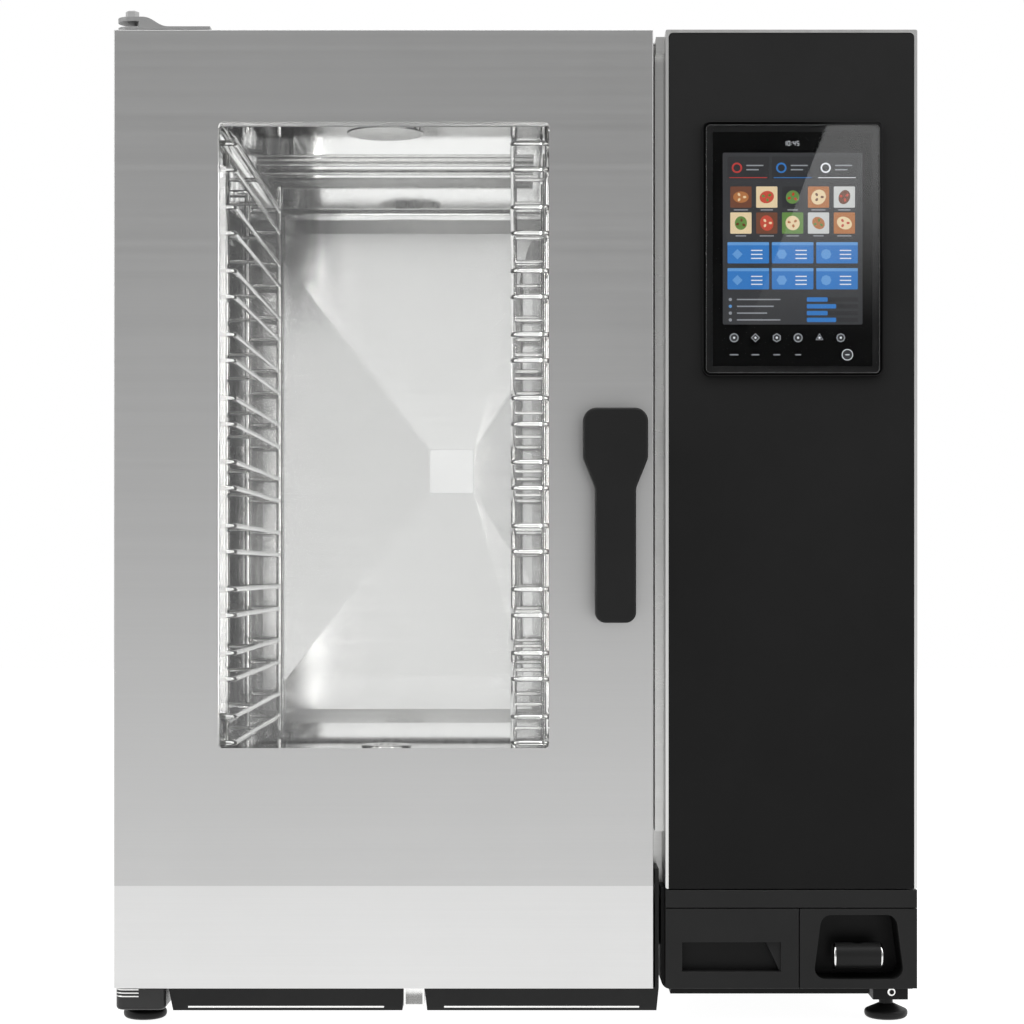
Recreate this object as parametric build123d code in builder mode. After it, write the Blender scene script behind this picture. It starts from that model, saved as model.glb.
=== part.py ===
"""Combi steamer oven for ten 1/1 gastronorm trays, as an assembly of separate pieces.

Millimetres. X runs to the right of someone facing the door, Y runs back from the door and Z up.
The origin is on the floor under the middle of the whole oven. Depths are measured back from
the door's outer face, so a piece at depth d lies at Y = FRONT_Y + d.
"""

from build123d import *
import math
import os

# ---------------------------------------------------------------- overall sizes
WIDTH = 852.0
BODY_DEPTH = 797.0  # door face to rear panel
HEIGHT = 1058.0  # floor to top panel
HANDLE_REACH = 56.0  # grip ahead of the door face
CONNECTION_REACH = 40.0  # drain stub behind the rear panel
BASE_Z = 78.0  # underside of the base pan
SHEET = 1.5  # outer steel panels
FRAME_SHEET = 2.0  # front frame
FLANGE = 15.0  # folded edge of a side panel
FIT_GAP = 0.05  # radial clearance of turning shafts
RUN_GAP = 0.3  # clearance of sliding boxes and rods
SEAT_GAP = 0.3  # between soft or hanging faces and what they rest against

# ---------------------------------------------------------------- door
DOOR_THICKNESS = 62.0
DOOR_GAP = 6.0  # door back to cabinet front
DOOR_Z0 = 41.0
DOOR_SKIN_DEPTH = 40.0  # folded sides of the outer skin
DOOR_EDGE_R = 1.0
COLUMN_WIDTH = 267.0
COLUMN_GAP = 13.0  # door edge to control column
WINDOW_WIDTH = 351.0
WINDOW_HEIGHT = 664.0
WINDOW_RADIUS = 5.0
WINDOW_Z = 628.0
GLASS = 6.0
TUNNEL_MARGIN = 12.0  # tunnel beyond the window, each side
OUTER_GLASS_LAP = 8.0  # outer pane beyond the tunnel
INNER_GLASS_INSET = 10.0  # inner pane's face from the door's back
GLASS_SEAL = 4.0
GLASS_SEAL_LIP = 3.0
GLASS_SEAL_FACE = 2.0
LED_SIZE = 8.5
LED_LENGTH = 600.0
LED_GAP = 1.5
BATT_CLEARANCE = 0.5
BATT_HINGE_CLEARANCE = 28.0  # left free for the hinge bearings

# ---------------------------------------------------------------- hinges
HINGE_INSET = 15.0  # pin axis from the door's left edge
HINGE_D = 30.0
HINGE_PIN_R = 5.0
BUSH_R = 8.0
BUSH_FLANGE_R = 11.0
BUSH_FLANGE = 1.2
BUSH_BLOCK_WIDTH = 26.0
BUSH_BLOCK_HEIGHT = 34.0
HINGE_STRAP_WIDTH = 29.0
HINGE_STRAP = 3.0
HINGE_LIFT = 4.0  # strap above the door and the top panel
HINGE_KNUCKLE_HEIGHT = 17.3
HINGE_KNUCKLE_TOP = 4.5
HINGE_KNUCKLE_LENGTH = 27.0
HINGE_NECK_LENGTH = 29.0
HINGE_ARM_END = 100.0  # from the cabinet's left edge
HINGE_TAIL_D = 132.0
HINGE_BOLT_HEAD_R = 7.25
HINGE_BOLT_HEAD = 8.4
HINGE_PIN_ENGAGEMENT = 30.0
HINGE_BLOCK_WIDTH = 53.0
HINGE_BLOCK_Z = 16.5
HINGE_BLOCK_D = 8.0
HINGE_BLOCK_CORNER = 9.0
HINGE_SHELF_GAP = 1.5  # hinge block to door
HINGE_RISER = 26.0

# ---------------------------------------------------------------- handle and latch
HANDLE_INSET = 42.0  # spindle from the door's right edge
HANDLE_Z = 628.0
HANDLE_TOP_RISE = 25.7  # head above the spindle
HANDLE_LENGTH = 223.7
HANDLE_HEAD_WIDTH = 67.5
HANDLE_GRIP_WIDTH = 42.5
HANDLE_HEAD_STRAIGHT = 52.5
HANDLE_TAPER = 31.0
HANDLE_THICKNESS = 22.0
HANDLE_HEAD_R = 14.0
HANDLE_END_R = 11.0
HANDLE_NECK_R = 16.0
HANDLE_EDGE_R = 3.0
HANDLE_HUB_R = 19.0
HANDLE_HUB_GAP = 1.0
SPINDLE_R = 6.0
SPINDLE_SOCKET = 24.0
CAM_REACH = 16.0
CAM_WIDTH = 11.0
CAM_HUB_R = 8.5
CAM_THICKNESS = 7.0
CAM_GAP = 3.0  # cam behind the front frame
ROLLER_R = 3.5
LATCH_GAP = 1.0
LATCH_CUP_WALL = 2.0
LATCH_CUP_DEPTH = 22.0

# ---------------------------------------------------------------- cavity and racks
CAVITY_SHIFT = 16.0  # cavity's middle to the left of the window's
CAVITY_WIDTH = 418.0
CAVITY_Z0 = 270.0
CAVITY_HEIGHT = 748.0
CAVITY_BACK_D = 690.0
CAVITY_WALL = 2.0
CAVITY_RADIUS = 20.0
CAVITY_FLANGE = 18.0
BATT = 24.0
BATT_BACK = 34.0
SEAL_INSET = 3.0
SEAL_WIDTH = 12.0
SEAL_ROUND = 2.0
LEVELS = 10
LEVEL_PITCH = 70.0
TOP_WIRE_Z = 953.7
WIRE_PAIR_DROP = 28.6  # upper wire to the wire that carries the tray
WIRE_R = 3.0
WIRE_BEND = 9.0
WIRE_BACK_BEND = 4.0
CROSS_WIRE_R = 2.5
WELD = 1.0  # how deep welded wires sink into each other
POST_R = 4.0
POST_INSET = 17.0  # post axis from the cavity wall
RUNNER_REACH = 39.0  # tray wire from the post's axis
RACK_FRONT_D = 96.0
RACK_BACK_D = 600.0
POST_DEPTHS = (118.0, 350.0, 582.0)
POST_TAIL = 19.0  # post beyond its lowest wire, and pin above its highest
POST_HEAD = 12.0  # post above its upper pin
RACK_PIN_R = 5.0

# ---------------------------------------------------------------- fan, heat, air and drain
FAN_INSET = 138.0  # fan axis from the cavity's right wall
FAN_Z = 615.0
FAN_R = 98.0
FAN_BACK_D = 682.0
FAN_DEPTH = 36.0
FAN_BLADES = 24
FAN_PLATE = 2.0
FAN_BLADE_CHORD = 22.0
FAN_BLADE_LEAN = 35.0
FAN_HUB_R = 16.0
SHAFT_R = 6.0
SHAFT_HOLE_R = 8.0
SHAFT_GRIP = 24.0  # shaft inside the motor
COIL_R = 4.25
COIL_LEAD_R = 3.6
COIL_COLLAR_R = 5.5
COIL_RADII = (107.0, 117.5, 128.0)
COIL_DEPTHS = (676.0, 664.0, 652.0)
COIL_LEAD_ANGLES = (78.0, 102.0)
COIL_LEAD_END_D = 742.0
BAFFLE_SIDE_SLOT = 14.0
BAFFLE_Z0 = 284.0
BAFFLE_Z1 = 945.0
BAFFLE_D = 630.0  # back of the baffle's border
BAFFLE_SHEET = 1.5
BAFFLE_BEND_R = 16.0
BAFFLE_BORDER = 18.0
BAFFLE_RISE = 12.0
BAFFLE_SQUARE = 59.0
BAFFLE_STANDOFF_R = 6.0
MOTOR_R = 52.0
MOTOR_FLANGE = 130.0
MOTOR_FLANGE_THICKNESS = 4.0
MOTOR_FLANGE_CORNER = 8.0
MOTOR_FLANGE_GAP = 6.0
MOTOR_FEET_R = 5.0
MOTOR_LENGTH = 66.0
MOTOR_FINS = 20
MOTOR_FIN_REACH = 5.0
VENT_D = 336.0
VENT_CAP_R = 46.0
VENT_CAP = 2.0
VENT_CAP_DROP = 10.0
VENT_CAP_POST_R = 4.0
VENT_INNER_R = 20.0
VENT_WALL = 1.0
VENT_SPIGOT_STEP = 1.0  # wider end above the top panel
VENT_COLLAR = 3.0
VENT_RISE = 27.0  # spigot above the top panel
FLAP_CLEARANCE = 0.4
FLAP_THICKNESS = 1.5
FLAP_SPINDLE_R = 2.5
ACTUATOR_LENGTH = 44.0
ACTUATOR_DEPTH = 34.0
ACTUATOR_HEIGHT = 18.0
ACTUATOR_GAP = 5.0
ACTUATOR_SOCKET = 12.0
DRAIN_D = 360.0
DRAIN_INNER_R = 17.5
DRAIN_WALL = 1.5
DRAIN_SPIGOT_STEP = 1.0  # wider end behind the rear panel
COLLAR_STEP = 7.0  # collars of the vent and the drain beyond their pipes
DRAIN_COLLAR = 4.0
DRAIN_PIPE_Z = 170.0
DRAIN_BEND = 45.0
STRAINER_R = 30.0
STRAINER_HEIGHT = 5.0
STRAINER_SPIGOT = 12.0
STRAINER_HOLE_R = 2.5
STRAINER_HOLES = 12
STRAINER_RINGS = (0.75, 0.4)  # shares of the drain's radius

# ---------------------------------------------------------------- feet
FOOT_INSET = 25.0  # foot axis from the cabinet's side
FOOT_FRONT_D = 56.0
FOOT_REAR_INSET = 57.0  # rear foot axis from the rear panel
FOOT_PAD_R = 23.25
FOOT_SOLE_R = 8.0
FOOT_RIM = 6.5  # height of the pad's widest place
FOOT_CONE_R = 21.4
FOOT_CONE_Z0 = 10.3
FOOT_CONE_Z1 = 16.8
FOOT_NECK_R = 7.5
FOOT_NECK_HOLE_R = 9.5
FOOT_STEM_R = 5.0
BRACKET_Z = 24.0
BRACKET_INNER = 17.5  # from the foot's axis towards the oven's middle
BRACKET_OUTER = 20.0
BRACKET_DEPTH = 50.0
BRACKET_PLATE = 3.0
BRACKET_CORNER = 4.0

# ---------------------------------------------------------------- control column
COLUMN_Z0 = 147.0
COLUMN_RIM = 3.2
COLUMN_OUTER_R = 2.0
COLUMN_INNER_R = 5.0
FASCIA = 6.0
FASCIA_INSET = 0.6
FASCIA_GAP = 0.2
SCREEN_SHIFT = 1.0  # screen's middle to the right of the column's
SCREEN_Z = 825.0
BEZEL_WIDTH = 191.7
BEZEL_HEIGHT = 270.7
BEZEL_RADIUS = 9.0
BEZEL_RIM = 4.0
BEZEL_REACH = 6.0
BEZEL_ROUND = 1.5
SCREEN_GLASS = 3.0
SCREEN_SINK = 0.5
DISPLAY_BORDER = 7.0
DISPLAY_DEPTH = 34.0
SERVICE_MARGIN = 22.0
SERVICE_Z0 = 200.0
HOUSING_FLARE = 3.5  # housing's left side beyond the column
HOUSING_SKID = 5.0  # strip under the housing, up to the foot's bracket
HOUSING_SKID_DEPTH = 90.0
HOUSING_Z0 = 37.0
HOUSING_Z1 = 145.5
HOUSING_WALL = 2.0
HOUSING_DEPTH = 420.0
HOUSING_CORNER = 10.0
MODULE_FACE = 22.0
MODULE_Z0 = 41.0
MODULE_Z1 = 125.7
MODULE_CORNER = 3.0
TRIM_Z0 = 126.5
TRIM_ROUND = 1.2
MODULE_SPLIT = 141.9  # seam from the column's left edge
MODULE_SEAM = 0.8
GRIP_INSET = 17.5  # grip from the column's left edge
GRIP_WIDTH = 105.1
GRIP_Z0 = 58.9
GRIP_Z1 = 90.3
GRIP_DEPTH = 17.0
GRIP_HOOK = 12.0  # undercut above the grip
GRIP_LIP = 5.0
GRIP_SLANT = 16.0
GRIP_SHELF = 4.0
DRAWER_WALL = 2.0
DRAWER_TRAY_Z1 = 108.0
DRAWER_LENGTH = 350.0
BAY_TOP = 123.5
SHOWER_BAY_DEPTH = 232.0
POCKET_INSET = 62.0  # pocket's middle from the cabinet's right side
POCKET_Z0 = 50.7
POCKET_Z1 = 119.3
POCKET_BASE_WIDTH = 97.0
POCKET_TOP_WIDTH = 79.0
POCKET_CORNER = 12.0
POCKET_DEPTH = 46.0
POCKET_WALL = 3.5
SHOWER_Z = 74.0
SHOWER_R = 14.0
SHOWER_LENGTH = 48.0
SHOWER_RING = 2.3
SHOWER_D = 13.0
SHOWER_NECK_R = 9.0
SHOWER_NECK = 8.0
SHOWER_THUMB_R = 12.0
SHOWER_THUMB_DEPTH = 2.5
SHOWER_HOSE_R = 6.5
REEL_R = 38.0
REEL_CORE_R = 36.0
REEL_RIM = 3.0
REEL_D = 188.0
REEL_AXLE_R = 8.0
REEL_AXLE = 9.0
REEL_Z = 81.5

# ---------------------------------------------------------------- drip channels, gap post, service side
DRIP_INSET = 55.0  # from the cabinet's left side
DRIP_COLUMN_GAP = 6.0
CLIP_SHIFT = 31.5  # clip's middle to the right of the window's
CLIP_WIDTH = 22.0
DRIP_Z0 = 14.5
DRIP_Z1 = 39.0
DRIP_WALL = 2.0
DRIP_D = 20.0
DRIP_LAP = 14.0  # back wall over the cabinet front
DRIP_UPSTAND_Z = 166.0
DRIP_UPSTAND = 4.0
DRIP_SLANTS = (5.0, 1.5, 3.0, 2.5)  # ends of the channels, from left to right
CLIP_WALL = 2.0
CLIP_Z0 = 19.0
CLIP_POCKET_D = 54.0
GAP_POST_CLEARANCE = 4.0  # door edge to gap post
GAP_POST_D = 38.0
GAP_POST_Z0 = 204.0
GAP_POST_DROP = 3.0  # post below the cabinet's top
GAP_CAP_D = 22.0
GAP_CAP_HEIGHT = 18.0
POWER_WIDTH = 30.0
POWER_D = 250.0
POWER_DEPTH = 260.0
POWER_Z = 420.0
POWER_HEIGHT = 300.0
POWER_FINS = 9
POWER_FIN = 4.0
POWER_FIN_REACH = 22.0
INLET_INSET = 176.0  # from the cabinet's right side, as for the two below
INLET_Z = 330.0
INLET_R = 13.2
INLET_BORE_R = 8.0
INLET_LENGTH = 18.0
INLET_NECK_R = 14.5  # neck through the rear panel
INLET_NUT_R = 19.0
INLET_NUT = 4.0
VALVE_WIDTH = 46.0
VALVE_DEPTH = 52.0
VALVE_HEIGHT = 40.0
SOLENOID_R = 14.0
SOLENOID_HEIGHT = 34.0
GLAND_INSET = 96.0
GLAND_Z = 220.0
GLAND_BORE_R = 9.0
GLAND_R = 16.0
GLAND_LENGTH = 20.0
GLAND_NECK_R = 12.0
GLAND_NUT = 7.0
GLAND_DOME_RISE = 1.0  # domed end beyond the neck's radius
GLAND_DOME_ROUND = 2.0
LOUVRE_WIDTH = 46.0
LOUVRE_HEIGHT = 5.0
LOUVRE_PITCH_X = 58.0
LOUVRE_PITCH_Z = 16.0
LOUVRE_COLUMNS = 3
LOUVRE_ROWS = 14
LOUVRE_INSET = 134.0
LOUVRE_Z = 640.0
SCREW_R = 2.0
SCREW_HEAD_R = 4.2
SCREW_HEAD = 2.2
SCREW_CHAMFER = 0.8
SCREW_TAIL = 5.0
SCREW_INSET = 10.0
SCREW_COLUMNS = 5

# ---------------------------------------------------------------- places that follow from the sizes
FRONT_Y = HANDLE_REACH - (HANDLE_REACH + BODY_DEPTH + CONNECTION_REACH) / 2
RIGHT = WIDTH / 2
LEFT = -WIDTH / 2
INNER_X0 = LEFT + SHEET
INNER_X1 = RIGHT - SHEET
TOP_UNDER = HEIGHT - SHEET
CABINET_D = DOOR_THICKNESS + DOOR_GAP
SHELL_D = CABINET_D + FRAME_SHEET
REAR_INNER_D = BODY_DEPTH - SHEET
COLUMN_X0 = RIGHT - COLUMN_WIDTH
COLUMN_X = (COLUMN_X0 + RIGHT) / 2
DOOR_X0 = LEFT
DOOR_X1 = COLUMN_X0 - COLUMN_GAP
DOOR_Z1 = HEIGHT
HANDLE_X = DOOR_X1 - HANDLE_INSET
WINDOW_X = (DOOR_X0 + DOOR_X1) / 2
TUNNEL_WIDTH = WINDOW_WIDTH + 2 * TUNNEL_MARGIN
TUNNEL_HEIGHT = WINDOW_HEIGHT + 2 * TUNNEL_MARGIN
TUNNEL_D = SHEET + GLASS
INNER_GLASS_D = DOOR_THICKNESS - INNER_GLASS_INSET
HINGE_X = DOOR_X0 + HINGE_INSET
HINGE_SHELF_Z = DOOR_Z0 - HINGE_SHELF_GAP
CAVITY_X = WINDOW_X - CAVITY_SHIFT
CAVITY_X0 = CAVITY_X - CAVITY_WIDTH / 2
CAVITY_X1 = CAVITY_X + CAVITY_WIDTH / 2
FAN_X = CAVITY_X1 - FAN_INSET
CAVITY_Z1 = CAVITY_Z0 + CAVITY_HEIGHT
CAVITY_Z = (CAVITY_Z0 + CAVITY_Z1) / 2
CAVITY_END_D = CAVITY_BACK_D + CAVITY_WALL
LATCH_HOLE_R = CAM_REACH + LATCH_GAP + 2 * ROLLER_R - LATCH_CUP_WALL
FOOT_X = RIGHT - FOOT_INSET
FOOT_REAR_D = BODY_DEPTH - FOOT_REAR_INSET
FOOT_STEM_TOP = HOUSING_Z0 - SEAT_GAP
SCREEN_X = COLUMN_X + SCREEN_SHIFT
MODULE_SPLIT_X = COLUMN_X0 + MODULE_SPLIT
GRIP_X0 = COLUMN_X0 + GRIP_INSET
GRIP_X1 = GRIP_X0 + GRIP_WIDTH
POCKET_X = RIGHT - POCKET_INSET
HOUSING_X0 = COLUMN_X0 - HOUSING_FLARE
BAY_X0 = COLUMN_X0 + 2 * HOUSING_WALL
BAY_X1 = INNER_X1 - HOUSING_WALL
BAY_Z0 = HOUSING_Z0 + HOUSING_WALL
DIVIDER_X0 = MODULE_SPLIT_X - HOUSING_WALL / 2
DIVIDER_X1 = MODULE_SPLIT_X + HOUSING_WALL / 2
DRAWER_X1 = MODULE_SPLIT_X - MODULE_SEAM / 2
POCKET_X0 = MODULE_SPLIT_X + MODULE_SEAM / 2
GAP_POST_X0 = DOOR_X1 + GAP_POST_CLEARANCE
GAP_POST_TOP = HEIGHT - GAP_POST_DROP
DRIP_LEFT_X0 = LEFT + DRIP_INSET
DRIP_LEFT_X1 = WINDOW_X + CLIP_SHIFT - CLIP_WIDTH / 2
DRIP_RIGHT_X0 = DRIP_LEFT_X1 + CLIP_WIDTH
DRIP_RIGHT_X1 = COLUMN_X0 - DRIP_COLUMN_GAP
INLET_X = RIGHT - INLET_INSET
GLAND_X = RIGHT - GLAND_INSET
LOUVRE_X = RIGHT - LOUVRE_INSET
BRACKET_FRONT_D = FOOT_FRONT_D - BRACKET_DEPTH / 2
VENT_R = VENT_INNER_R + VENT_WALL
VENT_SPIGOT_R = VENT_R + VENT_SPIGOT_STEP
VENT_COLLAR_R = VENT_R + COLLAR_STEP
VENT_TOP_Z = HEIGHT + VENT_RISE
DRAIN_R = DRAIN_INNER_R + DRAIN_WALL
DRAIN_SPIGOT_R = DRAIN_R + DRAIN_SPIGOT_STEP
DRAIN_COLLAR_R = DRAIN_R + COLLAR_STEP
FLAP_Z = CAVITY_Z1 + CAVITY_WALL + VENT_INNER_R


def upright(depth):
    """Plane facing the front at a depth. Its own axes are X and Z, and a negative extrusion runs back."""
    return Plane(origin=(0, FRONT_Y + depth, 0), x_dir=(1, 0, 0), z_dir=(0, -1, 0))


def at(x, depth, z):
    """Point from a place across, a depth behind the door's face and a height."""
    return (x, FRONT_Y + depth, z)


def block(x0, x1, d0, d1, z0, z1, mode=Mode.ADD):
    """Box between two corners, in the part that is being built."""
    with Locations(at((x0 + x1) / 2, (d0 + d1) / 2, (z0 + z1) / 2)):
        Box(x1 - x0, d1 - d0, z1 - z0, mode=mode)


def rod_back(x, z, d0, d1, radius, mode=Mode.ADD):
    """Cylinder along the depth, in the part that is being built."""
    with Locations(Location(at(x, (d0 + d1) / 2, z), (90, 0, 0))):
        Cylinder(radius, d1 - d0, mode=mode)


def rod_up(x, depth, z0, z1, radius, mode=Mode.ADD):
    """Upright cylinder, in the part that is being built."""
    with Locations(at(x, depth, (z0 + z1) / 2)):
        Cylinder(radius, z1 - z0, mode=mode)


def rod_across(x0, x1, depth, z, radius, mode=Mode.ADD):
    """Cylinder along the width, in the part that is being built."""
    with Locations(Location(at((x0 + x1) / 2, depth, z), (0, 90, 0))):
        Cylinder(radius, x1 - x0, mode=mode)


def plate(x, z, width, height, d0, d1, radius=0.0, mode=Mode.ADD):
    """Upright plate between two depths, with round corners if it has a radius."""
    with BuildSketch(upright(d0)) as outline:
        with Locations((x, z)):
            if radius > 0:
                RectangleRounded(width, height, radius)
            else:
                Rectangle(width, height)
    extrude(outline.sketch, amount=d0 - d1, mode=mode)


def cavity_plate(margin, d0, d1, mode=Mode.ADD):
    """Upright plate with the cavity's outline, larger by a margin all round."""
    plate(
        CAVITY_X,
        CAVITY_Z,
        CAVITY_WIDTH + 2 * margin,
        CAVITY_HEIGHT + 2 * margin,
        d0,
        d1,
        radius=CAVITY_RADIUS + margin,
        mode=mode,
    )


def tunnel_plate(margin, d0, d1, mode=Mode.ADD):
    """Upright plate with the outline of the door's light tunnel, larger by a margin all round."""
    plate(
        WINDOW_X,
        WINDOW_Z,
        TUNNEL_WIDTH + 2 * margin,
        TUNNEL_HEIGHT + 2 * margin,
        d0,
        d1,
        radius=WINDOW_RADIUS + max(margin, 0),
        mode=mode,
    )


def write(shape, label):
    """Name a shape and write it as its own file."""
    shape.label = label
    export_step(shape, f"parts/{label}.step")


def save(piece, label):
    """Name a finished piece and write it as its own file."""
    write(piece.part, label)


os.makedirs("parts", exist_ok=True)

# ================================================================ cabinet shell
SCREW_PITCH = (WIDTH - 2 * SCREW_INSET) / (SCREW_COLUMNS - 1)
REAR_SCREWS = [
    (LEFT + SCREW_INSET + column * SCREW_PITCH, z)
    for column in range(SCREW_COLUMNS)
    for z in (BASE_Z + FLANGE / 2, TOP_UNDER - FLANGE)
]

with BuildPart() as base_pan:
    block(INNER_X0, INNER_X1, SHELL_D, REAR_INNER_D, BASE_Z, BASE_Z + FLANGE)
    block(
        INNER_X0 + SHEET,
        INNER_X1 - SHEET,
        SHELL_D + SHEET,
        REAR_INNER_D - SHEET,
        BASE_Z + SHEET,
        BASE_Z + FLANGE,
        mode=Mode.SUBTRACT,
    )
    block(HOUSING_X0, RIGHT, SHELL_D, HOUSING_DEPTH, BASE_Z, BASE_Z + FLANGE, mode=Mode.SUBTRACT)
    for x, z in REAR_SCREWS:
        rod_back(x, z, REAR_INNER_D - SHEET, REAR_INNER_D, SCREW_R, mode=Mode.SUBTRACT)
save(base_pan, "base_pan")


def side_panel(outer_x, inward):
    """Steel side wall with a folded top edge. inward is +1 on the left side and -1 on the right."""
    near, far = sorted((outer_x, outer_x + inward * FLANGE))
    hollow_near, hollow_far = sorted((outer_x + inward * SHEET, outer_x + inward * FLANGE))
    hollow_z1 = TOP_UNDER - SHEET
    with BuildPart() as panel:
        block(near, far, CABINET_D, REAR_INNER_D, BASE_Z, TOP_UNDER)
        block(hollow_near, hollow_far, CABINET_D, REAR_INNER_D, BASE_Z, hollow_z1, mode=Mode.SUBTRACT)
    return panel


save(side_panel(LEFT, 1), "left_side_panel")
save(side_panel(RIGHT, -1), "right_side_panel")

with BuildPart() as top_panel:
    block(LEFT, RIGHT, CABINET_D, BODY_DEPTH, TOP_UNDER, HEIGHT)
    rod_up(CAVITY_X, VENT_D, TOP_UNDER, HEIGHT, VENT_R, mode=Mode.SUBTRACT)
save(top_panel, "top_panel")

with BuildPart() as rear_panel:
    block(LEFT, RIGHT, REAR_INNER_D, BODY_DEPTH, BASE_Z, TOP_UNDER)
    with BuildSketch(upright(REAR_INNER_D)):
        with Locations((LOUVRE_X, LOUVRE_Z)):
            with GridLocations(LOUVRE_PITCH_X, LOUVRE_PITCH_Z, LOUVRE_COLUMNS, LOUVRE_ROWS):
                SlotOverall(LOUVRE_WIDTH, LOUVRE_HEIGHT)
        with Locations((CAVITY_X, DRAIN_PIPE_Z)):
            Circle(DRAIN_R)
        with Locations((INLET_X, INLET_Z)):
            Circle(INLET_NECK_R)
        with Locations((GLAND_X, GLAND_Z)):
            Circle(GLAND_NECK_R)
        with Locations(*REAR_SCREWS):
            Circle(SCREW_R)
    extrude(amount=-SHEET, mode=Mode.SUBTRACT)
save(rear_panel, "rear_panel")

BRACKET_SCREW_X = FOOT_X + HOUSING_WALL
BRACKET_SCREW_Z = (BRACKET_Z + HOUSING_Z0) / 2 + HOUSING_WALL

with BuildPart() as screws:
    for x, z in REAR_SCREWS:
        rod_back(x, z, BODY_DEPTH, BODY_DEPTH + SCREW_HEAD, SCREW_HEAD_R)
        rod_back(x, z, REAR_INNER_D - SHEET, BODY_DEPTH, SCREW_R)
    chamfer(screws.faces().group_by(Axis.Y)[-1].edges(), length=SCREW_CHAMFER)
    rod_back(
        BRACKET_SCREW_X, BRACKET_SCREW_Z, BRACKET_FRONT_D - SCREW_HEAD, BRACKET_FRONT_D, SCREW_HEAD_R
    )
    rod_back(BRACKET_SCREW_X, BRACKET_SCREW_Z, BRACKET_FRONT_D, BRACKET_FRONT_D + SCREW_TAIL, SCREW_R)
save(screws, "screws")

with BuildPart() as front_frame:
    block(INNER_X0, INNER_X1, CABINET_D, SHELL_D, BASE_Z, TOP_UNDER - SHEET)
    cavity_plate(0, CABINET_D, SHELL_D, mode=Mode.SUBTRACT)
    rod_back(HANDLE_X, HANDLE_Z, CABINET_D, SHELL_D, LATCH_HOLE_R, mode=Mode.SUBTRACT)
    block(
        COLUMN_X0 + SERVICE_MARGIN,
        RIGHT - SERVICE_MARGIN,
        CABINET_D,
        SHELL_D,
        SERVICE_Z0,
        HEIGHT - 2 * SERVICE_MARGIN,
        mode=Mode.SUBTRACT,
    )
    block(HOUSING_X0, RIGHT, CABINET_D, SHELL_D, BASE_Z, HOUSING_Z1, mode=Mode.SUBTRACT)
    block(GAP_POST_X0, COLUMN_X0, GAP_POST_D, CABINET_D, GAP_POST_Z0, GAP_POST_TOP)
    block(GAP_POST_X0, COLUMN_X0, GAP_CAP_D, GAP_POST_D, GAP_POST_TOP - GAP_CAP_HEIGHT, GAP_POST_TOP)
save(front_frame, "front_frame")

# ================================================================ cavity, seal and insulation
COIL_LEADS = [
    (
        FAN_X + ring_radius * math.cos(math.radians(angle)),
        FAN_Z + ring_radius * math.sin(math.radians(angle)),
        depth,
    )
    for ring_radius, depth in zip(COIL_RADII, COIL_DEPTHS)
    for angle in COIL_LEAD_ANGLES
]
LEVEL_HEIGHTS = [TOP_WIRE_Z - level * LEVEL_PITCH for level in range(LEVELS)]
WIRE_HEIGHTS = sorted(LEVEL_HEIGHTS + [z - WIRE_PAIR_DROP for z in LEVEL_HEIGHTS])
RACK_PIN_HEIGHTS = (WIRE_HEIGHTS[0] + WIRE_PAIR_DROP / 2, WIRE_HEIGHTS[-1] + POST_TAIL)
POST_Z0 = WIRE_HEIGHTS[0] - POST_TAIL
POST_Z1 = RACK_PIN_HEIGHTS[-1] + POST_HEAD
POST_X = {"left": CAVITY_X0 + POST_INSET, "right": CAVITY_X1 - POST_INSET}
RUNNER_X = {"left": POST_X["left"] + RUNNER_REACH, "right": POST_X["right"] - RUNNER_REACH}
WALL_X = {"left": CAVITY_X0, "right": CAVITY_X1}
BAFFLE_X0 = CAVITY_X0 + BAFFLE_SIDE_SLOT
BAFFLE_X1 = CAVITY_X1 - BAFFLE_SIDE_SLOT
STANDOFFS = [
    (x, z)
    for x in (BAFFLE_X0 + BAFFLE_BORDER / 2, BAFFLE_X1 - BAFFLE_BORDER / 2)
    for z in (BAFFLE_Z0 + BAFFLE_BORDER, BAFFLE_Z1 - BAFFLE_BORDER)
]

with BuildPart() as cavity:
    cavity_plate(CAVITY_WALL, SHELL_D, CAVITY_END_D)
    cavity_plate(CAVITY_FLANGE, SHELL_D, SHELL_D + CAVITY_WALL)
    cavity_plate(0, SHELL_D, CAVITY_BACK_D, mode=Mode.SUBTRACT)
    rod_back(FAN_X, FAN_Z, CAVITY_BACK_D, CAVITY_END_D, SHAFT_HOLE_R, mode=Mode.SUBTRACT)
    for x, z, depth in COIL_LEADS:
        rod_back(x, z, CAVITY_BACK_D, CAVITY_END_D, COIL_LEAD_R, mode=Mode.SUBTRACT)
    rod_up(CAVITY_X, DRAIN_D, CAVITY_Z0 - CAVITY_WALL, CAVITY_Z0, DRAIN_INNER_R, mode=Mode.SUBTRACT)
    rod_up(CAVITY_X, VENT_D, CAVITY_Z1, CAVITY_Z1 + CAVITY_WALL, VENT_INNER_R, mode=Mode.SUBTRACT)
    for side in ("left", "right"):
        pin_x0, pin_x1 = sorted((WALL_X[side], POST_X[side]))
        for depth in (POST_DEPTHS[0], POST_DEPTHS[-1]):
            for z in RACK_PIN_HEIGHTS:
                rod_across(pin_x0, pin_x1, depth, z, RACK_PIN_R)
                rod_up(POST_X[side], depth, z - RACK_PIN_R, z + RACK_PIN_R, POST_R, mode=Mode.SUBTRACT)
    for x, z in STANDOFFS:
        rod_back(x, z, BAFFLE_D, CAVITY_BACK_D, BAFFLE_STANDOFF_R)
save(cavity, "cavity")

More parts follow.
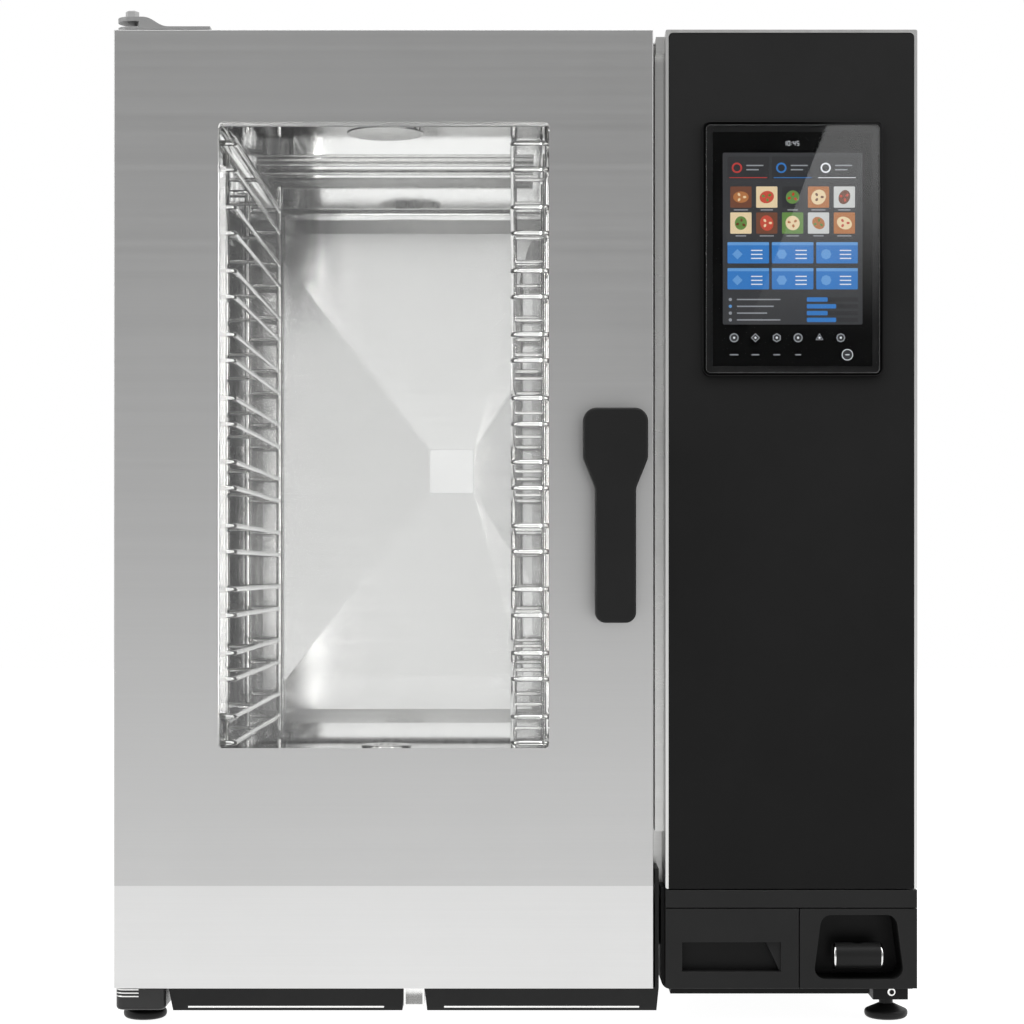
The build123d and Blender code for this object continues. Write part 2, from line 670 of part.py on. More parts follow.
BATT_D0 = SHELL_D + CAVITY_WALL
BATT_D1 = CAVITY_END_D + BATT_BACK
BATT_Z0 = CAVITY_Z0 - CAVITY_WALL - BATT
BATT_Z1 = CAVITY_Z1 + CAVITY_WALL + BATT
MOTOR_CLEARANCE = MOTOR_FLANGE + 2 * BATT_CLEARANCE
ACTUATOR_X0 = CAVITY_X + VENT_R + ACTUATOR_GAP
ACTUATOR_X1 = ACTUATOR_X0 + ACTUATOR_LENGTH

with BuildPart() as cavity_insulation:
    block(
        CAVITY_X0 - CAVITY_WALL - BATT,
        CAVITY_X1 + CAVITY_WALL + BATT,
        BATT_D0,
        BATT_D1,
        BATT_Z0,
        BATT_Z1,
    )
    cavity_plate(CAVITY_WALL, BATT_D0, CAVITY_END_D, mode=Mode.SUBTRACT)
    plate(FAN_X, FAN_Z, MOTOR_CLEARANCE, MOTOR_CLEARANCE, CAVITY_END_D, BATT_D1, mode=Mode.SUBTRACT)
    for x, z, depth in COIL_LEADS:
        rod_back(x, z, CAVITY_END_D, BATT_D1, COIL_LEAD_R + BATT_CLEARANCE, mode=Mode.SUBTRACT)
    rod_up(
        CAVITY_X, DRAIN_D, BATT_Z0, CAVITY_Z0 - CAVITY_WALL, DRAIN_R + BATT_CLEARANCE, mode=Mode.SUBTRACT
    )
    block(
        CAVITY_X - VENT_R - ACTUATOR_GAP,
        ACTUATOR_X1 + ACTUATOR_GAP,
        VENT_D - VENT_R - ACTUATOR_GAP,
        VENT_D + VENT_R + ACTUATOR_GAP,
        CAVITY_Z1 + CAVITY_WALL,
        BATT_Z1,
        mode=Mode.SUBTRACT,
    )
save(cavity_insulation, "cavity_insulation")

with BuildPart() as door_seal:
    cavity_plate(SEAL_INSET + SEAL_WIDTH, DOOR_THICKNESS + SEAT_GAP, CABINET_D)
    cavity_plate(SEAL_INSET, DOOR_THICKNESS + SEAT_GAP, CABINET_D, mode=Mode.SUBTRACT)
    fillet(door_seal.faces().group_by(Axis.Y)[0].edges(), radius=SEAL_ROUND)
save(door_seal, "door_seal")

with BuildPart() as vent_cap:
    rod_up(CAVITY_X, VENT_D, CAVITY_Z1 - VENT_CAP_DROP - VENT_CAP, CAVITY_Z1 - VENT_CAP_DROP, VENT_CAP_R)
    fillet(vent_cap.faces().sort_by(Axis.Z)[0].edges(), radius=0.75 * VENT_CAP)
    with Locations(at(CAVITY_X, VENT_D, CAVITY_Z1 - VENT_CAP_DROP / 2)):
        with PolarLocations(VENT_CAP_R - 2 * VENT_CAP_POST_R, 3):
            Cylinder(VENT_CAP_POST_R, VENT_CAP_DROP)
save(vent_cap, "ceiling_vent_cap")

# ================================================================ racks
def level_wire(post_x, runner_x, z):
    """Bent wire of a rack level, from the front post out to the tray's edge and back to the rear post."""
    front_post, middle_post, rear_post = POST_DEPTHS
    corners = [
        at(post_x, front_post, z),
        at(post_x, RACK_FRONT_D, z),
        at(runner_x, RACK_FRONT_D, z),
        at(runner_x, RACK_BACK_D, z),
        at(post_x, RACK_BACK_D, z),
        at(post_x, rear_post, z),
    ]
    low_x, high_x = sorted((post_x, runner_x))
    with BuildPart() as wire:
        with BuildLine() as path:
            FilletPolyline(*corners, radius=[WIRE_BEND, WIRE_BEND, WIRE_BACK_BEND, WIRE_BACK_BEND])
        with BuildSketch(Plane(origin=corners[0], z_dir=(0, -1, 0))):
            Circle(WIRE_R)
        sweep(path=path.wires()[0])
        rod_across(low_x, high_x, middle_post, z, CROSS_WIRE_R)
    return wire.part


def rack_bars(side):
    """The four upright bars of a side rack: three posts and the stop bar at the back."""
    stop_d = RACK_BACK_D + WIRE_R + POST_R - 2 * WELD
    with BuildPart() as bars:
        for depth in POST_DEPTHS:
            rod_up(POST_X[side], depth, POST_Z0, POST_Z1, POST_R)
        rod_up(RUNNER_X[side], stop_d, POST_Z0, POST_Z1, POST_R)
    return bars.part


def welded_wire(wire, bars):
    """Level wire cut where it meets the upright bars, so that it ends on them."""
    with BuildPart() as cut:
        add(wire)
        add(bars, mode=Mode.SUBTRACT)
    return cut.part.solids().sort_by(SortBy.VOLUME)[-1]


def rack(side):
    """Hanging side rack: upright bars and two bent wires for each level, each one a solid of its own."""
    bars = rack_bars(side)
    wires = [level_wire(POST_X[side], RUNNER_X[side], z) for z in WIRE_HEIGHTS]
    return Compound([*bars.solids(), *(welded_wire(wire, bars) for wire in wires)])


write(rack("left"), "left_rack")
write(rack("right"), "right_rack")

# ================================================================ fan baffle, fan, coils, motor
BAFFLE_X = (BAFFLE_X0 + BAFFLE_X1) / 2
BAFFLE_Z = (BAFFLE_Z0 + BAFFLE_Z1) / 2
FACET_WIDTH = BAFFLE_X1 - BAFFLE_X0 - 2 * BAFFLE_BORDER
FACET_HEIGHT = BAFFLE_Z1 - BAFFLE_Z0 - 2 * BAFFLE_BORDER


def funnel(depth):
    """Shallow four-sided funnel that narrows towards the fan, from a border at a depth."""
    with BuildPart() as dish:
        with BuildSketch(upright(depth)):
            with Locations((BAFFLE_X, BAFFLE_Z)):
                Rectangle(FACET_WIDTH, FACET_HEIGHT)
        with BuildSketch(upright(depth + BAFFLE_RISE)):
            with Locations((FAN_X, FAN_Z)):
                Rectangle(BAFFLE_SQUARE, BAFFLE_SQUARE)
        loft(ruled=True)
    return dish.part


outer_funnel = funnel(BAFFLE_D)
inner_funnel = funnel(BAFFLE_D - BAFFLE_SHEET)
BEND_Z = BAFFLE_Z1 + BAFFLE_BEND_R
BEND_D = BAFFLE_D + BAFFLE_BEND_R
BEND_OUTER_R = BAFFLE_BEND_R + BAFFLE_SHEET

with BuildPart() as fan_baffle:
    plate(
        BAFFLE_X,
        BAFFLE_Z,
        BAFFLE_X1 - BAFFLE_X0,
        BAFFLE_Z1 - BAFFLE_Z0,
        BAFFLE_D - BAFFLE_SHEET,
        BAFFLE_D,
    )
    add(outer_funnel)
    add(inner_funnel, mode=Mode.SUBTRACT)
    with Locations(Location(at(BAFFLE_X, BEND_D, BAFFLE_Z1), (0, 90, 0))):
        Cylinder(BEND_OUTER_R, BAFFLE_X1 - BAFFLE_X0)
        Cylinder(BAFFLE_BEND_R, BAFFLE_X1 - BAFFLE_X0, mode=Mode.SUBTRACT)
    block(
        BAFFLE_X0,
        BAFFLE_X1,
        BAFFLE_D,
        BEND_D + 2 * BEND_OUTER_R,
        BAFFLE_Z1 - 2 * BEND_OUTER_R,
        BAFFLE_Z1,
        mode=Mode.SUBTRACT,
    )
    block(BAFFLE_X0, BAFFLE_X1, BEND_D, BEND_D + BEND_OUTER_R, BAFFLE_Z1, BEND_Z, mode=Mode.SUBTRACT)
    block(BAFFLE_X0, BAFFLE_X1, BEND_D, CAVITY_BACK_D, BEND_Z, BEND_Z + BAFFLE_SHEET)
save(fan_baffle, "fan_baffle")

FAN_FRONT_D = FAN_BACK_D - FAN_DEPTH
MOTOR_D = CAVITY_END_D + MOTOR_FLANGE_GAP

with BuildPart() as fan_wheel:
    rod_back(FAN_X, FAN_Z, FAN_BACK_D - FAN_PLATE, FAN_BACK_D, FAN_R)
    rod_back(FAN_X, FAN_Z, FAN_FRONT_D, FAN_FRONT_D + FAN_PLATE, FAN_R)
    rod_back(
        FAN_X, FAN_Z, FAN_FRONT_D, FAN_FRONT_D + FAN_PLATE, FAN_R - FAN_BLADE_CHORD, mode=Mode.SUBTRACT
    )
    rod_back(FAN_X, FAN_Z, FAN_FRONT_D + 2 * FAN_PLATE, FAN_BACK_D, FAN_HUB_R)
    rod_back(FAN_X, FAN_Z, FAN_BACK_D, MOTOR_D + SHAFT_GRIP, SHAFT_R)
    with BuildSketch(upright(FAN_FRONT_D + FAN_PLATE)):
        with Locations((FAN_X, FAN_Z)):
            with PolarLocations(FAN_R - FAN_BLADE_CHORD / 2, FAN_BLADES):
                Rectangle(0.9 * FAN_BLADE_CHORD, FAN_PLATE, rotation=FAN_BLADE_LEAN)
    extrude(amount=2 * FAN_PLATE - FAN_DEPTH)
save(fan_wheel, "fan_wheel")

coil_start, coil_end = COIL_LEAD_ANGLES[1], COIL_LEAD_ANGLES[0] + 360
coil_cos = math.cos(math.radians(coil_start))
coil_sin = math.sin(math.radians(coil_start))

with BuildPart() as heating_coils:
    for ring_radius, depth in zip(COIL_RADII, COIL_DEPTHS):
        ring_centre = at(FAN_X, depth, FAN_Z)
        section = Plane(origin=ring_centre, x_dir=(coil_cos, 0, coil_sin), z_dir=(-coil_sin, 0, coil_cos))
        with BuildSketch(section):
            with Locations((ring_radius, 0)):
                Circle(COIL_R)
        revolve(axis=Axis(ring_centre, (0, -1, 0)), revolution_arc=coil_end - coil_start)
    for x, z, depth in COIL_LEADS:
        rod_back(x, z, depth - COIL_COLLAR_R, depth + COIL_COLLAR_R, COIL_COLLAR_R)
        rod_back(x, z, depth, COIL_LEAD_END_D, COIL_LEAD_R)
save(heating_coils, "heating_coils")

MOTOR_FEET_D = CAVITY_END_D + MOTOR_FLANGE_GAP / 2
MOTOR_FEET = [
    Location(at(FAN_X + side * MOTOR_R, MOTOR_FEET_D, FAN_Z + rise * MOTOR_R), (90, 0, 0))
    for side in (-1, 1)
    for rise in (-1, 1)
]

with BuildPart() as fan_motor:
    plate(
        FAN_X,
        FAN_Z,
        MOTOR_FLANGE,
        MOTOR_FLANGE,
        MOTOR_D,
        MOTOR_D + MOTOR_FLANGE_THICKNESS,
        radius=MOTOR_FLANGE_CORNER,
    )
    rod_back(FAN_X, FAN_Z, MOTOR_D, MOTOR_D + MOTOR_LENGTH, MOTOR_R)
    with BuildSketch(upright(MOTOR_D + MOTOR_FLANGE_THICKNESS)):
        with Locations((FAN_X, FAN_Z)):
            with PolarLocations(MOTOR_R, MOTOR_FINS):
                Rectangle(2 * MOTOR_FIN_REACH, MOTOR_FLANGE_THICKNESS)
    extrude(amount=2 * MOTOR_FLANGE_THICKNESS - MOTOR_LENGTH)
    with Locations(*MOTOR_FEET):
        Cylinder(MOTOR_FEET_R, MOTOR_FLANGE_GAP)
    rod_back(
        FAN_X,
        FAN_Z,
        MOTOR_D,
        MOTOR_D + SHAFT_GRIP + MOTOR_FLANGE_THICKNESS,
        SHAFT_R + FIT_GAP,
        mode=Mode.SUBTRACT,
    )
save(fan_motor, "fan_motor")

# ================================================================ vent and drain
with BuildPart() as vent_pipe:
    rod_up(CAVITY_X, VENT_D, CAVITY_Z1 + CAVITY_WALL, HEIGHT, VENT_R)
    rod_up(CAVITY_X, VENT_D, HEIGHT, HEIGHT + VENT_COLLAR, VENT_COLLAR_R)
    rod_up(CAVITY_X, VENT_D, HEIGHT + VENT_COLLAR, VENT_TOP_Z, VENT_SPIGOT_R)
    rod_up(CAVITY_X, VENT_D, CAVITY_Z1 + CAVITY_WALL, VENT_TOP_Z, VENT_INNER_R, mode=Mode.SUBTRACT)
    rod_across(
        CAVITY_X - VENT_R, CAVITY_X + VENT_R, VENT_D, FLAP_Z, FLAP_SPINDLE_R + FIT_GAP, mode=Mode.SUBTRACT
    )
save(vent_pipe, "vent_pipe")

with BuildPart() as vent_flap:
    flap_z0 = FLAP_Z - FLAP_THICKNESS / 2
    rod_up(CAVITY_X, VENT_D, flap_z0, flap_z0 + FLAP_THICKNESS, VENT_INNER_R - FLAP_CLEARANCE)
    rod_across(CAVITY_X - VENT_R, ACTUATOR_X0 + ACTUATOR_SOCKET, VENT_D, FLAP_Z, FLAP_SPINDLE_R)
save(vent_flap, "vent_flap")

with BuildPart() as vent_actuator:
    block(
        ACTUATOR_X0,
        ACTUATOR_X1,
        VENT_D - ACTUATOR_DEPTH / 2,
        VENT_D + ACTUATOR_DEPTH / 2,
        CAVITY_Z1 + CAVITY_WALL,
        FLAP_Z + ACTUATOR_HEIGHT / 2,
    )
    rod_across(
        ACTUATOR_X0,
        ACTUATOR_X0 + ACTUATOR_SOCKET + SHEET,
        VENT_D,
        FLAP_Z,
        FLAP_SPINDLE_R + FIT_GAP,
        mode=Mode.SUBTRACT,
    )
save(vent_actuator, "vent_actuator")

with BuildPart() as drain_strainer:
    rod_up(CAVITY_X, DRAIN_D, CAVITY_Z0, CAVITY_Z0 + STRAINER_HEIGHT, STRAINER_R)
    fillet(drain_strainer.faces().sort_by(Axis.Z)[-1].edges(), radius=0.5 * STRAINER_HEIGHT)
    rod_up(CAVITY_X, DRAIN_D, CAVITY_Z0 - STRAINER_SPIGOT, CAVITY_Z0, DRAIN_INNER_R - RUN_GAP)
    for ring in STRAINER_RINGS:
        with Locations(at(CAVITY_X, DRAIN_D, CAVITY_Z0)):
            with PolarLocations(ring * DRAIN_INNER_R, round(ring * STRAINER_HOLES)):
                Cylinder(STRAINER_HOLE_R, 2 * STRAINER_SPIGOT, mode=Mode.SUBTRACT)
save(drain_strainer, "drain_strainer")

with BuildPart() as drain_pipe:
    with BuildLine() as drain_path:
        FilletPolyline(
            at(CAVITY_X, DRAIN_D, CAVITY_Z0 - CAVITY_WALL),
            at(CAVITY_X, DRAIN_D, DRAIN_PIPE_Z),
            at(CAVITY_X, BODY_DEPTH + CONNECTION_REACH, DRAIN_PIPE_Z),
            radius=DRAIN_BEND,
        )
    with BuildSketch(Plane(origin=at(CAVITY_X, DRAIN_D, CAVITY_Z0 - CAVITY_WALL), z_dir=(0, 0, -1))):
        Circle(DRAIN_R)
        Circle(DRAIN_INNER_R, mode=Mode.SUBTRACT)
    sweep(path=drain_path.wires()[0])
    for d0, d1, radius in (
        (BODY_DEPTH, BODY_DEPTH + DRAIN_COLLAR, DRAIN_COLLAR_R),
        (BODY_DEPTH + DRAIN_COLLAR, BODY_DEPTH + CONNECTION_REACH, DRAIN_SPIGOT_R),
    ):
        with BuildSketch(upright(d0)) as ring:
            with Locations((CAVITY_X, DRAIN_PIPE_Z)):
                Circle(radius)
                Circle(DRAIN_INNER_R, mode=Mode.SUBTRACT)
        extrude(ring.sketch, amount=d0 - d1)
save(drain_pipe, "drain_pipe")

# ================================================================ door
with BuildPart() as door_skin:
    block(DOOR_X0, DOOR_X1, 0, DOOR_SKIN_DEPTH, DOOR_Z0, DOOR_Z1)
    fillet(door_skin.faces().sort_by(Axis.Y)[0].edges(), radius=DOOR_EDGE_R)
    block(
        DOOR_X0 + SHEET,
        DOOR_X1 - SHEET,
        SHEET,
        DOOR_SKIN_DEPTH,
        DOOR_Z0 + SHEET,
        DOOR_Z1 - SHEET,
        mode=Mode.SUBTRACT,
    )
    tunnel_plate(-TUNNEL_MARGIN, 0, SHEET, mode=Mode.SUBTRACT)
    rod_back(HANDLE_X, HANDLE_Z, 0, SHEET, SPINDLE_R + FIT_GAP, mode=Mode.SUBTRACT)
    rod_up(HINGE_X, HINGE_D, DOOR_Z0, DOOR_Z0 + SHEET, BUSH_R, mode=Mode.SUBTRACT)
    rod_up(HINGE_X, HINGE_D, DOOR_Z1 - SHEET, DOOR_Z1, BUSH_R, mode=Mode.SUBTRACT)
save(door_skin, "door_skin")

with BuildPart() as door_inner_frame:
    block(DOOR_X0, DOOR_X1, DOOR_SKIN_DEPTH, DOOR_THICKNESS, DOOR_Z0, DOOR_Z1)
    fillet(door_inner_frame.faces().sort_by(Axis.Y)[-1].edges(), radius=DOOR_EDGE_R)
    block(
        DOOR_X0 + SHEET,
        DOOR_X1 - SHEET,
        DOOR_SKIN_DEPTH,
        DOOR_THICKNESS - SHEET,
        DOOR_Z0 + SHEET,
        DOOR_Z1 - SHEET,
        mode=Mode.SUBTRACT,
    )
    tunnel_plate(SHEET, TUNNEL_D, DOOR_THICKNESS)
    tunnel_plate(0, TUNNEL_D, DOOR_THICKNESS, mode=Mode.SUBTRACT)
    rod_back(
        HANDLE_X, HANDLE_Z, DOOR_THICKNESS - SHEET, DOOR_THICKNESS, SPINDLE_R + FIT_GAP, mode=Mode.SUBTRACT
    )
save(door_inner_frame, "door_inner_frame")

with BuildPart() as outer_glass:
    tunnel_plate(OUTER_GLASS_LAP, SHEET, TUNNEL_D)
save(outer_glass, "outer_glass")

with BuildPart() as inner_glass:
    tunnel_plate(-GLASS_SEAL, INNER_GLASS_D, INNER_GLASS_D + GLASS)
save(inner_glass, "inner_glass")

with BuildPart() as inner_glass_seal:
    seal_d0 = INNER_GLASS_D - GLASS_SEAL_FACE
    seal_d1 = INNER_GLASS_D + GLASS + GLASS_SEAL_FACE
    tunnel_plate(0, seal_d0, seal_d1)
    tunnel_plate(-GLASS_SEAL - GLASS_SEAL_LIP, seal_d0, seal_d1, mode=Mode.SUBTRACT)
    tunnel_plate(-GLASS_SEAL, INNER_GLASS_D, INNER_GLASS_D + GLASS, mode=Mode.SUBTRACT)
save(inner_glass_seal, "inner_glass_seal")

with BuildPart() as door_insulation:
    block(
        DOOR_X0 + BATT_HINGE_CLEARANCE,
        DOOR_X1 - SHEET - BATT_CLEARANCE,
        TUNNEL_D,
        DOOR_THICKNESS - SHEET,
        DOOR_Z0 + SHEET + BATT_CLEARANCE,
        DOOR_Z1 - SHEET - BATT_CLEARANCE,
    )
    tunnel_plate(SHEET, TUNNEL_D, DOOR_THICKNESS - SHEET, mode=Mode.SUBTRACT)
    rod_back(
        HANDLE_X,
        HANDLE_Z,
        TUNNEL_D,
        DOOR_THICKNESS - SHEET,
        SPINDLE_R + BATT_CLEARANCE,
        mode=Mode.SUBTRACT,
    )
save(door_insulation, "door_insulation")

with BuildPart() as door_lights:
    for side in (-1, 1):
        strip_x = WINDOW_X + side * (TUNNEL_WIDTH - LED_SIZE) / 2
        block(
            strip_x - LED_SIZE / 2,
            strip_x + LED_SIZE / 2,
            TUNNEL_D + LED_GAP,
            TUNNEL_D + LED_GAP + LED_SIZE,
            WINDOW_Z - LED_LENGTH / 2,
            WINDOW_Z + LED_LENGTH / 2,
        )
save(door_lights, "door_lights")

with BuildPart() as hinge_bushes:
    bush_x1 = HINGE_X + BUSH_BLOCK_WIDTH / 2
    for inner_z, edge_z, upward in ((DOOR_Z0 + SHEET, DOOR_Z0, 1), (DOOR_Z1 - SHEET, DOOR_Z1, -1)):
        block_z0, block_z1 = sorted((inner_z, inner_z + upward * BUSH_BLOCK_HEIGHT))
        neck_z0, neck_z1 = sorted((inner_z, edge_z))
        flange_z0, flange_z1 = sorted((edge_z, edge_z - upward * BUSH_FLANGE))
        block(DOOR_X0 + SHEET, bush_x1, SHEET, DOOR_SKIN_DEPTH, block_z0, block_z1)
        rod_up(HINGE_X, HINGE_D, neck_z0, neck_z1, BUSH_R)
        rod_up(HINGE_X, HINGE_D, flange_z0, flange_z1, BUSH_FLANGE_R)
        bore_z0, bore_z1 = min(block_z0, flange_z0), max(block_z1, flange_z1)
        rod_up(HINGE_X, HINGE_D, bore_z0, bore_z1, HINGE_PIN_R + FIT_GAP, mode=Mode.SUBTRACT)
save(hinge_bushes, "hinge_bushes")

# ================================================================ hinge brackets and pins
HINGE_D0 = HINGE_D - HINGE_STRAP_WIDTH / 2
HINGE_D1 = HINGE_D + HINGE_STRAP_WIDTH / 2
HINGE_TOP_Z = HEIGHT + HINGE_KNUCKLE_HEIGHT
STRAP_Z0 = HEIGHT + HINGE_LIFT
STRAP_Z1 = STRAP_Z0 + HINGE_STRAP
KNUCKLE_X1 = LEFT + HINGE_KNUCKLE_LENGTH
NECK_X1 = KNUCKLE_X1 + HINGE_NECK_LENGTH
ARM_X1 = LEFT + HINGE_ARM_END

with BuildPart() as top_hinge_bracket:
    with BuildSketch(upright(HINGE_D0)):
        with BuildLine():
            Polyline(
                (NECK_X1, STRAP_Z1),
                (ARM_X1, STRAP_Z1),
                (ARM_X1, STRAP_Z0),
                (LEFT, STRAP_Z0),
                (LEFT, HINGE_TOP_Z),
                (KNUCKLE_X1, HINGE_TOP_Z),
            )
            Spline(
                (KNUCKLE_X1, HINGE_TOP_Z),
                (NECK_X1, STRAP_Z1),
                tangents=((1, 0), (1, 0)),
            )
        make_face()
    extrude(amount=-HINGE_STRAP_WIDTH)
    block(
        LEFT,
        KNUCKLE_X1 - HINGE_STRAP,
        HINGE_D0,
        HINGE_D1,
        STRAP_Z1,
        HINGE_TOP_Z - HINGE_KNUCKLE_TOP,
        mode=Mode.SUBTRACT,
    )
    fillet(
        top_hinge_bracket.edges().filter_by(Axis.Z).group_by(Axis.X)[0],
        radius=HINGE_STRAP_WIDTH / 2 - FIT_GAP,
    )
    block(KNUCKLE_X1, ARM_X1, HINGE_D1, HINGE_TAIL_D, STRAP_Z0, STRAP_Z1)
    block(KNUCKLE_X1, ARM_X1, SHELL_D, HINGE_TAIL_D, HEIGHT, STRAP_Z0)
    rod_up(HINGE_X, HINGE_D, STRAP_Z0, HINGE_TOP_Z, HINGE_PIN_R, mode=Mode.SUBTRACT)
save(top_hinge_bracket, "top_hinge_bracket")

with BuildPart() as hinge_pins:
    rod_up(HINGE_X, HINGE_D, DOOR_Z1 - HINGE_PIN_ENGAGEMENT, HINGE_TOP_Z, HINGE_PIN_R)
    with BuildSketch(Plane.XY.offset(HINGE_TOP_Z)):
        with Locations((HINGE_X, FRONT_Y + HINGE_D)):
            RegularPolygon(HINGE_BOLT_HEAD_R, 6)
    extrude(amount=HINGE_BOLT_HEAD)
    chamfer(hinge_pins.faces().sort_by(Axis.Z)[-1].edges(), length=SCREW_CHAMFER)
    rod_up(
        HINGE_X,
        HINGE_D,
        HINGE_SHELF_Z - BUSH_BLOCK_HEIGHT / 2,
        DOOR_Z0 + HINGE_PIN_ENGAGEMENT,
        HINGE_PIN_R,
    )
save(hinge_pins, "hinge_pins")

HINGE_BLOCK_X1 = LEFT + HINGE_BLOCK_WIDTH

with BuildPart() as bottom_hinge_bracket:
    block(LEFT, HINGE_BLOCK_X1, HINGE_BLOCK_D, SHELL_D + HINGE_RISER, HINGE_BLOCK_Z, HINGE_SHELF_Z)
    fillet(bottom_hinge_bracket.edges().filter_by(Axis.Z).group_by(Axis.Y)[0], radius=HINGE_BLOCK_CORNER)
    fillet(bottom_hinge_bracket.faces().sort_by(Axis.Z)[0].edges(), radius=BRACKET_CORNER)
    block(INNER_X0, HINGE_BLOCK_X1, SHELL_D, SHELL_D + HINGE_RISER, HINGE_SHELF_Z, BASE_Z)
    rod_up(
        HINGE_X,
        HINGE_D,
        HINGE_SHELF_Z - BUSH_BLOCK_HEIGHT / 2,
        HINGE_SHELF_Z,
        HINGE_PIN_R,
        mode=Mode.SUBTRACT,
    )
    rod_up(-FOOT_X, FOOT_FRONT_D, HINGE_BLOCK_Z, BRACKET_Z, FOOT_NECK_HOLE_R, mode=Mode.SUBTRACT)
    rod_up(
        -FOOT_X,
        FOOT_FRONT_D,
        BRACKET_Z,
        FOOT_STEM_TOP + SEAT_GAP,
        FOOT_STEM_R + FIT_GAP,
        mode=Mode.SUBTRACT,
    )
save(bottom_hinge_bracket, "bottom_hinge_bracket")

# ================================================================ handle, spindle and latch
GRIP_TOP = HANDLE_Z + HANDLE_TOP_RISE
GRIP_BOTTOM = GRIP_TOP - HANDLE_LENGTH
HEAD_BOTTOM = GRIP_TOP - HANDLE_HEAD_STRAIGHT
NECK_TOP = HEAD_BOTTOM - HANDLE_TAPER
HEAD_HALF = HANDLE_HEAD_WIDTH / 2
GRIP_HALF = HANDLE_GRIP_WIDTH / 2
HANDLE_BACK_D = HANDLE_THICKNESS - HANDLE_REACH

with BuildPart() as door_handle:
    with BuildSketch(upright(-HANDLE_REACH)) as paddle:
        with BuildLine():
            Polyline(
                (HANDLE_X - HEAD_HALF, GRIP_TOP),
                (HANDLE_X + HEAD_HALF, GRIP_TOP),
                (HANDLE_X + HEAD_HALF, HEAD_BOTTOM),
                (HANDLE_X + GRIP_HALF, NECK_TOP),
                (HANDLE_X + GRIP_HALF, GRIP_BOTTOM),
                (HANDLE_X - GRIP_HALF, GRIP_BOTTOM),
                (HANDLE_X - GRIP_HALF, NECK_TOP),
                (HANDLE_X - HEAD_HALF, HEAD_BOTTOM),
                close=True,
            )
        make_face()
        fillet(paddle.vertices().group_by(Axis.Y)[-1], radius=HANDLE_HEAD_R)
        fillet(paddle.vertices().group_by(Axis.Y)[0], radius=HANDLE_END_R)
        bends = paddle.vertices().filter_by_position(Axis.Y, NECK_TOP - FIT_GAP, HEAD_BOTTOM + FIT_GAP)
        fillet(bends, radius=HANDLE_NECK_R)
    extrude(amount=-HANDLE_THICKNESS)
    fillet(door_handle.faces().sort_by(Axis.Y)[0].edges(), radius=HANDLE_EDGE_R)
    fillet(door_handle.faces().sort_by(Axis.Y)[-1].edges(), radius=HANDLE_EDGE_R / 2)
    rod_back(HANDLE_X, HANDLE_Z, HANDLE_BACK_D, -HANDLE_HUB_GAP, HANDLE_HUB_R)
    rod_back(
        HANDLE_X,
        HANDLE_Z,
        -HANDLE_HUB_GAP - SPINDLE_SOCKET,
        -HANDLE_HUB_GAP,
        SPINDLE_R,
        mode=Mode.SUBTRACT,
    )
save(door_handle, "door_handle")

CAM_D = SHELL_D + CAM_GAP
CAM_TIP_Z = HANDLE_Z + CAM_REACH - CAM_WIDTH / 2

with BuildPart() as handle_spindle:
    rod_back(HANDLE_X, HANDLE_Z, -HANDLE_HUB_GAP - SPINDLE_SOCKET, CAM_D + CAM_THICKNESS, SPINDLE_R)
    rod_back(HANDLE_X, HANDLE_Z, CAM_D, CAM_D + CAM_THICKNESS, CAM_HUB_R)
    rod_back(HANDLE_X, CAM_TIP_Z, CAM_D, CAM_D + CAM_THICKNESS, CAM_WIDTH / 2)
    block(
        HANDLE_X - CAM_WIDTH / 2,
        HANDLE_X + CAM_WIDTH / 2,
        CAM_D,
        CAM_D + CAM_THICKNESS,
        HANDLE_Z,
        CAM_TIP_Z,
    )
save(handle_spindle, "handle_spindle")

LATCH_CUP_D1 = SHELL_D + LATCH_CUP_DEPTH
ROLLER_Z = HANDLE_Z + CAM_REACH + LATCH_GAP + ROLLER_R

with BuildPart() as latch_keeper:
    rod_back(HANDLE_X, HANDLE_Z, SHELL_D, LATCH_CUP_D1, LATCH_HOLE_R + LATCH_CUP_WALL)
    rod_back(HANDLE_X, HANDLE_Z, SHELL_D, LATCH_CUP_D1 - LATCH_CUP_WALL, LATCH_HOLE_R, mode=Mode.SUBTRACT)
    rod_back(HANDLE_X, ROLLER_Z, SHELL_D + LATCH_GAP, LATCH_CUP_D1, ROLLER_R)
save(latch_keeper, "latch_keeper")

# ================================================================ feet
def foot(x, depth):
    """Levelling foot: rounded pad, cone, neck under the bracket and a stem inside it."""
    neck_z1 = BRACKET_Z - SEAT_GAP
    with BuildPart() as piece:
        with BuildSketch(Plane(origin=at(x, depth, 0), x_dir=(1, 0, 0), z_dir=(0, -1, 0))) as half:
            with BuildLine():
                Line((0, 0), (FOOT_SOLE_R, 0))
                Spline(
                    (FOOT_SOLE_R, 0),
                    (FOOT_PAD_R, FOOT_RIM),
                    (FOOT_CONE_R, FOOT_CONE_Z0),
                    tangents=((1, 0), (-1, 0.5)),
                )
                Polyline(
                    (FOOT_CONE_R, FOOT_CONE_Z0),
                    (FOOT_NECK_R, FOOT_CONE_Z1),
                    (FOOT_NECK_R, neck_z1),
                    (FOOT_STEM_R, neck_z1),
                    (FOOT_STEM_R, FOOT_STEM_TOP),
                    (0, FOOT_STEM_TOP),
                    (0, 0),
                )
            make_face()
        revolve(half.sketch, axis=Axis(at(x, depth, 0), (0, 0, 1)))
    return piece


for foot_name, foot_x, foot_d in (
    ("foot_front_left", -FOOT_X, FOOT_FRONT_D),
    ("foot_front_right", FOOT_X, FOOT_FRONT_D),
    ("foot_rear_left", -FOOT_X, FOOT_REAR_D),
    ("foot_rear_right", FOOT_X, FOOT_REAR_D),
):
    save(foot(foot_x, foot_d), foot_name)

